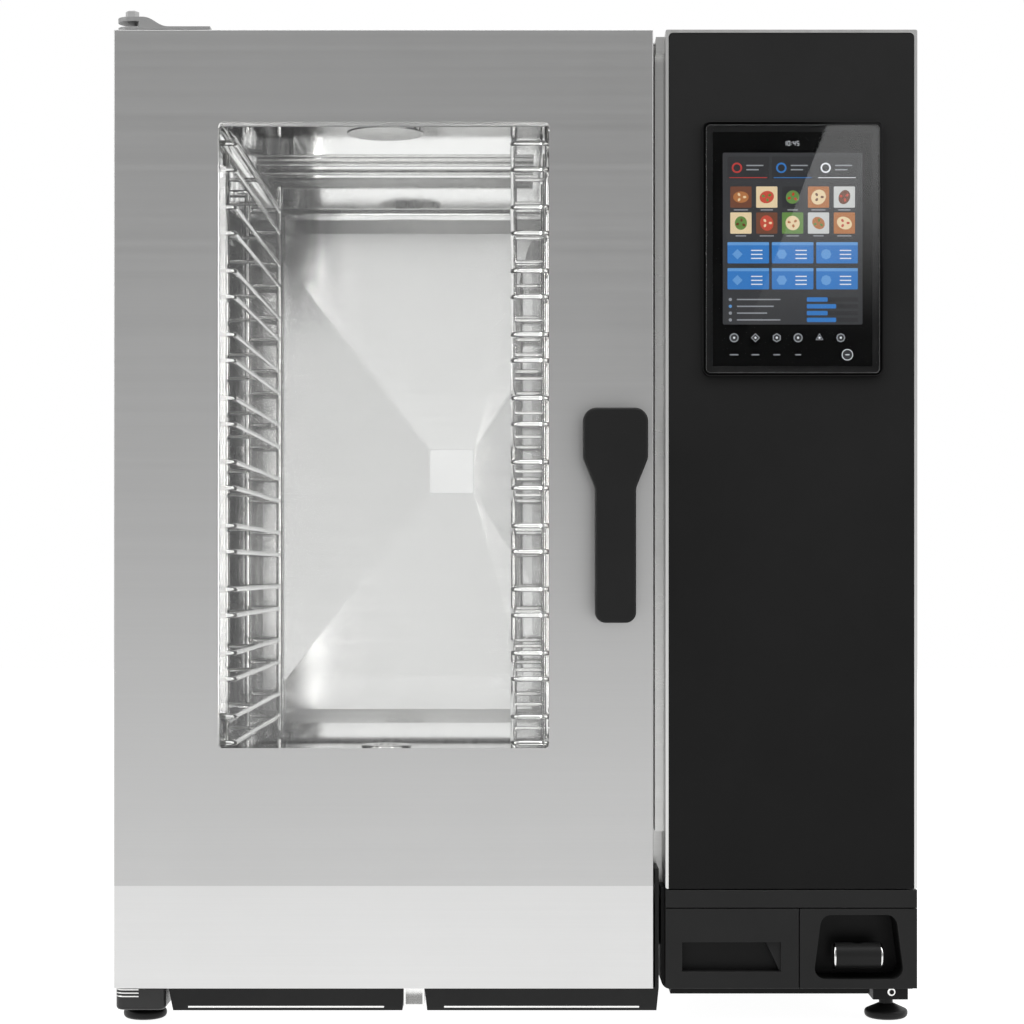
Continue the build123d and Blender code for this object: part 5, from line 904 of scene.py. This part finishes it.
MADE: dict[str, bpy.types.Material] = {}


def dress(finish: Finish, *nodes: str) -> None:
    """Give CAD nodes a finish on all their slots.

    Args:
        finish: The finish.
        *nodes: The nodes that take it.
    """
    for name in nodes:
        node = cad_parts[name]
        if not node.material_slots:
            node.data.materials.append(finish.material())
        for slot in node.material_slots:
            slot.material = finish.material()
        LOG.info("%s takes %s", name, finish.value.name)


def centre(node: str) -> Vector:
    """Middle of a node's box, in metres."""
    low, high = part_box(node)
    return (low + high) / 2


# ------------------------------------------------------------------ sub-assemblies
@dataclass
class Assembly:
    """One sub-assembly: CAD nodes with their finishes, and pieces of its own."""

    name: str
    nodes: dict[str, Finish] = field(default_factory=dict)

    def build(self) -> None:
        """Build the pieces that the CAD leaves out."""

    def dress(self) -> None:
        """Give every CAD node its finish."""
        for node, finish in self.nodes.items():
            dress(finish, node)

    def run(self) -> None:
        """Build, dress and report."""
        self.build()
        self.dress()
        LOG.info("%s is ready", self.name)


@dataclass
class CabinetShell(Assembly):
    """Panels around the oven and the screws that hold them."""

    name: str = "cabinet shell"
    nodes: dict[str, Finish] = field(default_factory=lambda: {
        "base_pan": Finish.HOUSING, "left_side_panel": Finish.HOUSING, "right_side_panel": Finish.HOUSING,
        "top_panel": Finish.HOUSING, "rear_panel": Finish.HOUSING, "screws": Finish.BRIGHT,
        "front_frame": Finish.FRAME,
    })


@dataclass
class CookingCavity(Assembly):
    """Cooking chamber with its seal, insulation and vent."""

    name: str = "cooking cavity"
    nodes: dict[str, Finish] = field(default_factory=lambda: {
        "cavity": Finish.CAVITY, "cavity_insulation": Finish.WOOL, "door_seal": Finish.SEAL,
        "ceiling_vent_cap": Finish.BRIGHT, "vent_pipe": Finish.BRIGHT, "vent_flap": Finish.BRIGHT,
        "vent_actuator": Finish.BLACK_PLASTIC, "drain_strainer": Finish.BRIGHT, "drain_pipe": Finish.BRIGHT,
    })
    bead_radius: float = 2.2
    bead_side: float = 16.0
    bead_back: float = 64.0
    beads: tuple[Flat, ...] = ((96.0, 2.4), (56.0, 2.4), (14.0, 7.0))

    def build(self) -> None:
        """Build the polished weld beads across the chamber's ceiling near its back."""
        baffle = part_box("fan_baffle")
        left, right = baffle[0].x + self.bead_side * MM, baffle[1].x - self.bead_side * MM
        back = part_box("left_rack")[1].y + self.bead_back * MM
        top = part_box("ceiling_vent_cap")[1].z
        mesh = bmesh.new()
        for forward, drop in self.beads:
            place = (back - forward * MM, top - drop * MM)
            tube(mesh, [Vector((left, *place)), Vector((right, *place))], self.bead_radius * MM, 12)
        finish_mesh("cavity_weld_beads", mesh, Finish.BRIGHT.material(), CABINET)


@dataclass
class SideRacks(Assembly):
    """Two wire racks for ten trays."""

    name: str = "side racks"
    nodes: dict[str, Finish] = field(default_factory=lambda: {
        "left_rack": Finish.RACK, "right_rack": Finish.RACK,
    })


@dataclass
class FanAndHeat(Assembly):
    """Fan with its baffle, heating coils and motor."""

    name: str = "fan and heat"
    nodes: dict[str, Finish] = field(default_factory=lambda: {
        "fan_baffle": Finish.BAFFLE, "fan_wheel": Finish.BRIGHT, "heating_coils": Finish.COIL,
        "fan_motor": Finish.MOTOR,
    })
    boss_width: float = 58.0
    boss_radius: float = 3.5
    boss_depth: float = 10.7
    boss_thickness: float = 0.5
    boss_edge: float = 0.2

    def build(self) -> None:
        """Build the flat polished boss in the middle of the baffle's funnel."""
        fan = centre("fan_wheel")
        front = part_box("fan_baffle")[0].y + self.boss_depth * MM
        mesh = bmesh.new()
        outline = rounded_outline(self.boss_width * MM, self.boss_width * MM, self.boss_radius * MM)
        slab(mesh, outline, (fan.x, front, fan.z), self.boss_thickness * MM, self.boss_edge * MM)
        finish_mesh("baffle_boss", mesh, Finish.BOSS.material(), CABINET)


@dataclass
class Door(Assembly):
    """Double glazed door with its lamps."""

    name: str = "door"
    nodes: dict[str, Finish] = field(default_factory=lambda: {
        "door_skin": Finish.DOOR, "outer_glass": Finish.WINDOW, "door_inner_frame": Finish.DOOR_FRAME,
        "door_insulation": Finish.WOOL, "inner_glass": Finish.WINDOW, "inner_glass_seal": Finish.SILICONE,
        "door_lights": Finish.LENS,
    })


@dataclass
class HingeHardware(Assembly):
    """Pins, bushes and brackets that carry the door."""

    name: str = "hinge hardware"
    nodes: dict[str, Finish] = field(default_factory=lambda: {
        "hinge_bushes": Finish.BUSH, "hinge_pins": Finish.BOLT, "top_hinge_bracket": Finish.BRACKET,
        "bottom_hinge_bracket": Finish.ENAMEL,
    })
    rib_radius: float = 0.8
    rib_drops: tuple[float, ...] = (1.6, 5.2, 8.8)
    rib_length: float = 25.0
    rib_side: float = 30.0
    corner: float = 9.0
    corner_steps: int = 8

    def build(self) -> None:
        """Build the three polished ribs around the front corner of the lower bracket."""
        low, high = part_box("bottom_hinge_bracket")
        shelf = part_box("door_skin")[0].z - self.rib_radius * MM
        mesh = bmesh.new()
        for drop in self.rib_drops:
            level = shelf - drop * MM
            side = low.x + self.rib_radius * MM
            turn = (side + self.corner * MM, low.y + self.corner * MM)
            path = [Vector((low.x + self.rib_length * MM, low.y, level))]
            for step in range(self.corner_steps + 1):
                angle = math.radians(270.0 - 90.0 * step / self.corner_steps)
                path.append(Vector((turn[0] + self.corner * MM * math.cos(angle),
                                    turn[1] + self.corner * MM * math.sin(angle), level)))
            path.append(Vector((side, low.y + self.rib_side * MM, level)))
            tube(mesh, path, self.rib_radius * MM, 10)
        finish_mesh("hinge_bracket_ribs", mesh, Finish.BRIGHT.material(), CABINET)


@dataclass
class DoorHandle(Assembly):
    """Turning handle with its spindle and keeper."""

    name: str = "door handle"
    nodes: dict[str, Finish] = field(default_factory=lambda: {
        "door_handle": Finish.HANDLE, "handle_spindle": Finish.BRIGHT, "latch_keeper": Finish.BRIGHT,
    })


@dataclass
class Feet(Assembly):
    """Four levelling feet on two brackets."""

    name: str = "feet"
    nodes: dict[str, Finish] = field(default_factory=lambda: {
        "foot_front_left": Finish.FOOT, "foot_front_right": Finish.FOOT, "foot_rear_left": Finish.FOOT,
        "foot_rear_right": Finish.FOOT, "foot_brackets": Finish.BLACK_PAINT,
    })
    socket_width: float = 5.2
    socket_round: float = 0.49
    socket_shift: Flat = (2.3, 32.3)
    socket_lift: float = 0.12

    def build(self) -> None:
        """Build black discs as painted shade of the sockets in the heads of the two front bracket screws."""
        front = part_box("screws")[0].y - self.socket_lift * MM
        mesh = bmesh.new()
        for foot, sign in (("foot_front_left", -1), ("foot_front_right", 1)):
            place = (centre(foot).x + sign * self.socket_shift[0] * MM, front, self.socket_shift[1] * MM)
            outline = rounded_outline(self.socket_width * MM, self.socket_width * MM,
                                      self.socket_round * self.socket_width * MM)
            # painted shade: a flat black disc where the socket's hollow would be
            slab(mesh, outline, place, self.socket_lift * MM)
        finish_mesh("bracket_screw_socket_shade", mesh, Finish.BLACK_PLASTIC.material(), CABINET)


@dataclass
class ControlColumn(Assembly):
    """Steel housing and black fascia right of the door."""

    name: str = "control column"
    nodes: dict[str, Finish] = field(default_factory=lambda: {
        "control_housing": Finish.COLUMN, "control_fascia": Finish.FASCIA, "lower_trim_band": Finish.MODULE,
        "power_module": Finish.BLACK_PLASTIC,
    })


class Ink(Enum):
    """Colours of the screen's picture, as display values."""

    PANEL = (38, 39, 42)
    CARD = (24, 25, 28)
    WHITE = (226, 228, 232)
    SOFT = (148, 151, 156)
    RED = (176, 44, 38)
    BLUE = (34, 112, 184)
    PALE_BLUE = (92, 148, 204)
    CRUST = (170, 106, 52)
    CREAM = (222, 200, 160)
    LEAF = (92, 130, 58)
    TOMATO = (186, 66, 44)
    ROAST = (104, 58, 34)
    PLATE = (196, 198, 196)

    def glow(self) -> Glow:
        """The colour's lit finish."""
        return Glow("screen_" + self.name.lower(), srgb(*self.value), 0.85, 0.2)


@dataclass
class TouchScreen(Assembly):
    """Touch screen with a made-up menu of plain shapes behind its cover glass."""

    name: str = "touch screen"
    nodes: dict[str, Finish] = field(default_factory=lambda: {
        "screen_bezel": Finish.BEZEL, "display_module": Finish.DISPLAY,
    })
    cover_gap: float = 1.2
    cover_inset: float = 0.15
    cover_radius: float = 3.0
    cover_edge: float = 0.4
    layer: float = 0.06
    tile: float = 22.5
    tile_pitch: float = 27.4
    edge_line: float = 0.55
    edge_inset: float = 3.6
    bezel_radius: float = 9.0
    plates: dict[Ink, bmesh.types.BMesh] = field(default_factory=dict)

    def build(self) -> None:
        """Build the cover glass, the bright bezel edge and the menu."""
        self._cover()
        self._edge()
        self._panel()
        self._clock()
        self._cards()
        self._dishes()
        self._buttons()
        self._list()
        self._dock()
        for ink, mesh in self.plates.items():
            finish_mesh("screen_" + ink.name.lower(), mesh, ink.glow().material(), CABINET)

    def _cover(self) -> None:
        """Thinner stand-in for the cover glass, which leaves room for the picture behind it."""
        low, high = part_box("screen_glass")
        mesh = bmesh.new()
        width, height = high.x - low.x - 2 * self.cover_inset * MM, high.z - low.z - 2 * self.cover_inset * MM
        outline = rounded_outline(width, height, self.cover_radius * MM)
        depth = high.y - low.y - self.cover_gap * MM
        middle = ((low.x + high.x) / 2, low.y, (low.z + high.z) / 2)
        slab(mesh, outline, middle, depth, self.cover_edge * MM)
        pane = finish_mesh("screen_cover", mesh, Finish.COVER.material(), CABINET)
        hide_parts("screen_glass")

    def _edge(self) -> None:
        """Thin polished line around the bezel's inner edge."""
        low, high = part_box("screen_bezel")
        mesh = bmesh.new()
        reach, inset = self.edge_line * MM, self.edge_inset * MM
        outline = rounded_outline(high.x - low.x - 2 * inset, high.z - low.z - 2 * inset,
                                  self.bezel_radius * MM - inset, 8)
        middle = centre("screen_bezel")
        path = [Vector((middle.x + x, low.y + reach, middle.z + z)) for x, z in outline]
        tube(mesh, path, reach, 8, True)
        finish_mesh("screen_bezel_edge", mesh, Finish.HAIRLINE.material(), CABINET)

    def put(self, ink: Ink, outline: list[Flat], across: float, up: float, level: int = 1) -> None:
        """Lay one flat shape on the display.

        Args:
            ink: Its colour.
            outline: Its outline about its own middle, in millimetres.
            across: Place right of the display's middle, in millimetres.
            up: Place above the display's middle.
            level: Layer that it lies on; higher ones cover lower ones.
        """
        mesh = self.plates.setdefault(ink, bmesh.new())
        middle = centre("display_module")
        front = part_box("display_module")[0].y - level * self.layer * MM
        points = [(x * MM, z * MM) for x, z in outline]
        slab(mesh, points, (middle.x + across * MM, front, middle.z + up * MM), 0.8 * self.layer * MM)

    def box(self, ink: Ink, width: float, height: float, across: float, up: float, level: int = 1,
            radius: float = 0.0) -> None:
        """Lay a rectangle, with rounded corners where a radius is given.

        Args:
            ink: Its colour.
            width: Its width, in millimetres.
            height: Its height.
            across: Place right of the display's middle.
            up: Place above the display's middle.
            level: Layer that it lies on.
            radius: Its corner radius.
        """
        outline = rounded_outline(width, height, max(radius, 0.05), 4 if radius else 1)
        self.put(ink, outline, across, up, level)

    def oval(self, ink: Ink, width: float, height: float, across: float, up: float, level: int = 2,
             sides: int = 24, turn: float = 0.0) -> None:
        """Lay an ellipse, or a polygon where few sides are given.

        Args:
            ink: Its colour.
            width: Its width before the turn, in millimetres.
            height: Its height before the turn.
            across: Place right of the display's middle.
            up: Place above the display's middle.
            level: Layer that it lies on.
            sides: Corners of its outline.
            turn: Turn about its middle, in radians.
        """
        points = []
        for step in range(sides):
            angle = 2 * math.pi * step / sides
            x, z = width / 2 * math.cos(angle), height / 2 * math.sin(angle)
            points.append((x * math.cos(turn) - z * math.sin(turn), x * math.sin(turn) + z * math.cos(turn)))
        self.put(ink, points, across, up, level)

    def _panel(self) -> None:
        """Grey ground of the menu."""
        self.box(Ink.PANEL, 148.0, 182.0, 0.0, 11.0, 1, 1.5)

    def _clock(self) -> None:
        """Four digits of seven bars each, with a colon."""
        bars = {"a": (0, 1, True), "b": (1, 0.5, False), "c": (1, -0.5, False), "d": (0, -1, True),
                "e": (-1, -0.5, False), "f": (-1, 0.5, False), "g": (0, 0, True)}
        lit = {"1": "bc", "0": "abcdef", "4": "bcfg", "5": "acdfg"}
        half, rise, thick = 1.1, 2.2, 0.55
        for place, digit in enumerate("1045"):
            across = -8.0 + place * 4.0 + (1.6 if place > 1 else 0.0)
            for bar in lit[digit]:
                side, level, flat = bars[bar]
                size = (2 * half, thick) if flat else (thick, rise)
                self.box(Ink.WHITE, size[0], size[1], across + side * half, 112.0 + level * rise, 1)
        for level in (-1.0, 1.0):
            self.box(Ink.WHITE, thick, thick, -1.25, 112.0 + level, 1)

    def _cards(self) -> None:
        """Three wide dark cards with a plain sign on each."""
        for place, ink in enumerate((Ink.RED, Ink.BLUE, Ink.WHITE)):
            across = (place - 1) * 47.0
            self.box(Ink.CARD, 44.0, 24.0, across, 86.0, 2, 1.5)
            self.oval(ink, 11.0, 11.0, across - 12.0, 86.0, 3)
            self.oval(Ink.CARD, 7.5, 7.5, across - 12.0, 86.0, 4)
            for line, length in enumerate((18.0, 13.0)):
                self.box(Ink.SOFT, length, 1.3, across + 7.0 - (18.0 - length) / 2, 88.5 - 4.5 * line, 3)
            self.box(ink, 40.0, 0.8, across, 75.6, 3)

    def _dishes(self) -> None:
        """Two rows of tiles with plain round and oval dishes."""
        grounds = (Ink.ROAST, Ink.CREAM, Ink.CARD, Ink.CRUST, Ink.PLATE,
                   Ink.CREAM, Ink.ROAST, Ink.LEAF, Ink.PLATE, Ink.CRUST)
        tops = (Ink.CRUST, Ink.TOMATO, Ink.LEAF, Ink.CREAM, Ink.ROAST,
                Ink.LEAF, Ink.TOMATO, Ink.CREAM, Ink.CRUST, Ink.CREAM)
        dots = (Ink.CREAM, Ink.LEAF, Ink.TOMATO, Ink.ROAST, Ink.TOMATO,
                Ink.ROAST, Ink.CREAM, Ink.CRUST, Ink.LEAF, Ink.TOMATO)
        for index in range(10):
            across, up = (index % 5 - 2) * self.tile_pitch, 55.0 - (index // 5) * 27.5
            self.box(grounds[index], self.tile, self.tile, across, up, 2, 1.0)
            wide, tall = 16.5 - index % 3, 12.0 + index % 4
            self.oval(tops[index], wide, tall, across, up, 3, turn=0.3 * index)
            for step in range(3 + index % 3):
                angle = 2.1 * step + 0.7 * index
                spot = (across + 3.9 * math.cos(angle), up + 3.1 * math.sin(angle))
                self.oval(dots[index], 3.6, 2.6, *spot, 4, 12, angle)
            self.box(Ink.SOFT, 15.0 - 2 * (index % 3), 1.1, across, up - 13.6, 2)

    def _buttons(self) -> None:
        """Two rows of wide blue buttons with a list sign on each."""
        for index in range(6):
            across, up = (index % 3 - 1) * 47.0, -4.0 - (index // 3) * 27.5
            self.box(Ink.BLUE, 44.0, 22.5, across, up, 2, 1.2)
            self.box(Ink.PALE_BLUE, 44.0, 3.2, across, up + 9.6, 3, 0.8)
            for line in range(3):
                self.box(Ink.WHITE, 12.0, 1.1, across + 9.0, up + 2.5 - 4.2 * line, 3)
            self.oval(Ink.PALE_BLUE, 11.0, 11.0, across - 11.5, up - 1.5, 3, 4 + index % 3 * 2)

    def _list(self) -> None:
        """Four narrow rows of a list under the buttons."""
        for row in range(4):
            up = -53.5 - row * 7.2
            self.oval(Ink.PALE_BLUE if row == 1 else Ink.SOFT, 3.4, 3.4, -66.0, up, 2, 16)
            self.box(Ink.SOFT, 46.0 - 7.0 * (row % 3), 1.3, -36.0 - 3.5 * (row % 3), up, 2)
            self.box(Ink.CARD, 54.0, 4.6, 42.0, up, 2, 1.0)
            self.box(Ink.BLUE, 22.0 + 9.0 * (row % 2), 4.6, 26.0 + 4.5 * (row % 2), up, 3, 1.0)

    def _dock(self) -> None:
        """Row of plain white signs under the menu, with a round button at the end."""
        ring = 9.5
        for index in range(6):
            across = -62.0 + index * 22.6
            sides = (24, 4, 6, 24, 3, 8)[index]
            self.oval(Ink.SOFT, ring, ring, across, -94.0, 2, sides, math.pi / 2)
            self.oval(Ink.CARD, ring - 2.2, ring - 2.2, across, -94.0, 3, sides, math.pi / 2)
            self.oval(Ink.WHITE, 2.4, 2.4, across, -94.0, 4, 12)
        for index in range(4):
            self.box(Ink.SOFT, 9.0 - index, 1.2, -62.0 + index * 22.6, -112.0, 2)
        self.oval(Ink.WHITE, 12.0, 12.0, 58.0, -112.0, 2)
        self.oval(Ink.CARD, 10.4, 10.4, 58.0, -112.0, 3)
        self.box(Ink.WHITE, 4.4, 1.2, 58.0, -112.0, 4)


@dataclass
class LowerModules(Assembly):
    """Black lower housing with its tablet drawer and hand shower."""

    name: str = "lower modules"
    nodes: dict[str, Finish] = field(default_factory=lambda: {
        "lower_housing": Finish.BLACK_PLASTIC, "drawer_front": Finish.MODULE,
        "drawer_tray": Finish.BLACK_PLASTIC, "shower_pocket": Finish.MODULE,
        "shower_head": Finish.HANDLE, "shower_end_rings": Finish.BRIGHT, "shower_hose": Finish.HOSE,
        "hose_reel": Finish.BLACK_PLASTIC,
    })


@dataclass
class DripChannels(Assembly):
    """Drip channels under the door, with the clip that joins them."""

    name: str = "drip channels"
    nodes: dict[str, Finish] = field(default_factory=lambda: {
        "drip_channels": Finish.CHANNEL, "drip_channel_clip": Finish.BRIGHT,
    })
    lip_height: float = 1.8
    lip_round: float = 0.4
    lip_rise: float = 2.9
    lip_inset: float = 21.0
    lip_reach: float = 0.4

    def build(self) -> None:
        """Build the thin bright lip along the lower front edge of each channel."""
        low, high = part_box("drip_channels")
        clip_low, clip_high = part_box("drip_channel_clip")
        mesh = bmesh.new()
        for start, end in ((low.x, clip_low.x), (clip_high.x, high.x)):
            width = end - start - 2 * self.lip_inset * MM
            outline = rounded_outline(width, self.lip_height * MM, self.lip_round * self.lip_height * MM, 3)
            level = low.z + (self.lip_rise + self.lip_height / 2) * MM
            slab(mesh, outline, ((start + end) / 2, low.y - self.lip_reach * MM, level),
                 1.5 * self.lip_reach * MM)
        finish_mesh("drip_channel_lips", mesh, Finish.BRIGHT.material(), CABINET)


@dataclass
class RearConnections(Assembly):
    """Water inlet and cable gland at the back."""

    name: str = "rear connections"
    nodes: dict[str, Finish] = field(default_factory=lambda: {
        "water_valve": Finish.BRASS, "cable_gland": Finish.BLACK_PLASTIC,
    })


# ------------------------------------------------------------------ studio
@dataclass
class Studio:
    """Pale floor, soft lamps and the camera."""

    half_floor: float = 9.0
    camera_place: Point = (0.0026, -2.9905, 0.485)
    lens: float = 86.2
    shift: Flat = (-0.0059, 0.0566)
    card_corners: tuple[Flat, ...] = ((0.36, 0.86), (0.82, 0.86), (0.82, 1.54), (0.36, 1.54))
    strip_corners: tuple[Flat, ...] = ((0.472, 0.96), (0.82, 0.96), (0.82, 1.5), (0.685, 1.5))
    strip_glow: float = 1.5
    strip_gap: float = 0.01
    strip_fade: float = 0.1
    lamp_aim: float = 0.55
    fill_tone: float = 0.55
    front_low: float = 0.70
    front_high: float = 0.34
    pane_tone: float = 0.92
    floor_tone: float = 0.97
    floor_greys: Flat = (148.0, 154.0)
    sensor: float = 36.0
    far_clip: float = 60.0

    def build(self) -> None:
        """Build the whole studio."""
        self._floor()
        self._world()
        self._cards()
        self._lamps()
        self._camera()
        LOG.info("studio is ready")

    @staticmethod
    def _seen(graph: Graph) -> bpy.types.NodeSocket:
        """Share of rays from the camera, a gloss or a pane of glass."""
        path = graph.node("LightPath")
        both = graph.sum("MAXIMUM", path.outputs["Is Camera Ray"], path.outputs["Is Glossy Ray"])
        return graph.sum("MAXIMUM", both, path.outputs["Is Transmission Ray"])

    def _floor(self) -> None:
        """Flat pale floor that keeps the oven's shadow."""
        data = bpy.data.meshes.new("floor")
        half = self.half_floor
        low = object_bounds()[0][2]
        data.from_pydata([(-half, -half, low), (half, -half, low), (half, half, low), (-half, half, low)], [],
                         [(0, 1, 2, 3)])
        floor = bpy.data.objects.new("floor", data)
        bpy.context.scene.collection.objects.link(floor)
        made, graph, shader = principled("floor_paint")
        clouds = graph.noise(graph.place((1.0, 1.0, 1.0)), 1.5, 2.0)
        paint = graph.blend(graph.span(clouds, 0.3, 0.7), *(grey(tone) for tone in self.floor_greys))
        graph.feed(shader.inputs["Base Color"], paint)
        shader.inputs["Roughness"].default_value = 0.9
        shader.inputs["Specular IOR Level"].default_value = 0.1
        shader.inputs["Emission Color"].default_value = (1.0, 1.0, 1.0, 1.0)
        glow = graph.sum("MULTIPLY", self._seen(graph), self.floor_tone)
        graph.feed(shader.inputs["Emission Strength"], glow)
        data.materials.append(made)
        floor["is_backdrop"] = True

    def _world(self) -> None:
        """White behind the oven and softly darker in front of it."""
        world = bpy.data.worlds.new("studio")
        bpy.context.scene.world = world
        world.use_nodes = True
        graph = Graph(world.node_tree)
        parts = graph.node("SeparateXYZ")
        graph.feed(parts.inputs[0], graph.node("TexCoord").outputs["Generated"])
        front = graph.span(parts.outputs["Y"], 0.1, -0.35, smooth=True)
        tone = graph.span(parts.outputs["Z"], -0.05, 0.32, self.front_low, self.front_high, True)
        clear = graph.node("LightPath").outputs["Is Transmission Ray"]
        tone = graph.sum("MAXIMUM", tone, graph.sum("MULTIPLY", clear, self.pane_tone))
        tone = graph.sum("MAXIMUM", tone, graph.node("LightPath").outputs["Is Camera Ray"])
        seen = graph.sum("MULTIPLY_ADD", front, graph.sum("SUBTRACT", tone, 1.0), 1.0)
        light = graph.node("MixShader")
        shown = graph.node("Background")
        graph.feed(shown.inputs["Strength"], seen)
        shown.inputs["Color"].default_value = (1.0, 1.0, 1.0, 1.0)
        fill = graph.node("Background")
        fill.inputs["Color"].default_value = (1.0, 1.0, 1.0, 1.0)
        fill.inputs["Strength"].default_value = self.fill_tone
        graph.feed(light.inputs[0], self._seen(graph))
        graph.feed(light.inputs[1], fill.outputs[0])
        graph.feed(light.inputs[2], shown.outputs[0])
        graph.feed(graph.node("OutputWorld").inputs["Surface"], light.outputs[0])

    def _card(self, name: str, corners: tuple[Flat, ...], depth: float) -> Graph:
        """Flat card near the camera, seen only in gloss and through glass.

        Args:
            name: The card's name.
            corners: Its corners in X and Z, in metres.
            depth: Its place along Y.

        Returns:
            The graph of its material, with an emission shader yet to be fed.
        """
        data = bpy.data.meshes.new(name)
        data.from_pydata([(x, depth, z) for x, z in corners], [], [tuple(range(len(corners)))])
        card = bpy.data.objects.new(name, data)
        bpy.context.scene.collection.objects.link(card)
        made = bpy.data.materials.new(name)
        made.use_nodes = True
        data.materials.append(made)
        card.visible_camera = card.visible_diffuse = card.visible_shadow = False
        card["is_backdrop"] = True
        return Graph(made.node_tree)

    def _cards(self) -> None:
        """Black card and a soft bright strip on it, for the screen's dark glass to mirror."""
        depth = self.camera_place[1]
        cards = (("card_black", self.card_corners, depth, 0.0),
                 ("card_strip", self.strip_corners, depth + self.strip_gap, self.strip_glow))
        for name, corners, place, glow in cards:
            graph = self._card(name, corners, place)
            parts = graph.node("SeparateXYZ")
            graph.feed(parts.inputs[0], graph.place((1.0, 1.0, 1.0)))
            top = corners[2][1] - self.strip_fade
            level = graph.span(parts.outputs["Z"], corners[0][1], top, 0.0, glow, True)
            light = graph.node("Emission")
            graph.feed(light.inputs["Strength"], level)
            graph.feed(graph.node("OutputMaterial").inputs["Surface"], light.outputs[0])

    def _lamps(self) -> None:
        """Three large soft lamps: above, left and right."""
        for name, place, size, power in (
            ("lamp_above", (0.2, -0.9, 3.2), 2.6, 42.0),
            ("lamp_left", (-2.9, -1.4, 1.9), 2.0, 26.0),
            ("lamp_right", (2.9, -1.2, 2.1), 2.0, 30.0),
        ):
            light = bpy.data.lights.new(name, "AREA")
            light.shape = "SQUARE"
            light.size = size
            light.energy = power
            lamp = bpy.data.objects.new(name, light)
            lamp.location = place
            aim = Vector((0.0, 0.0, self.lamp_aim)) - Vector(place)
            lamp.rotation_euler = aim.to_track_quat("-Z", "Y").to_euler()
            bpy.context.scene.collection.objects.link(lamp)

    def _camera(self) -> None:
        """Level camera in front of the door."""
        data = bpy.data.cameras.new("camera")
        data.lens = self.lens
        data.sensor_width = self.sensor
        data.shift_x, data.shift_y = self.shift
        data.dof.use_dof = False
        data.clip_end = self.far_clip
        camera = bpy.data.objects.new("camera", data)
        camera.location = self.camera_place
        camera.rotation_euler = (math.radians(90.0), 0.0, 0.0)
        bpy.context.scene.collection.objects.link(camera)
        bpy.context.scene.camera = camera
        bpy.context.scene.view_settings.view_transform = "Standard"


def main() -> None:
    """Build every sub-assembly in order and report each one."""
    logging.basicConfig(level=logging.INFO, format="%(name)s: %(message)s")
    Studio().build()
    for assembly in (CabinetShell(), CookingCavity(), SideRacks(), FanAndHeat(), Door(), HingeHardware(),
                     DoorHandle(), Feet(), ControlColumn(), TouchScreen(), LowerModules(), DripChannels(),
                     RearConnections()):
        assembly.run()


if __name__ == "__main__":
    main()
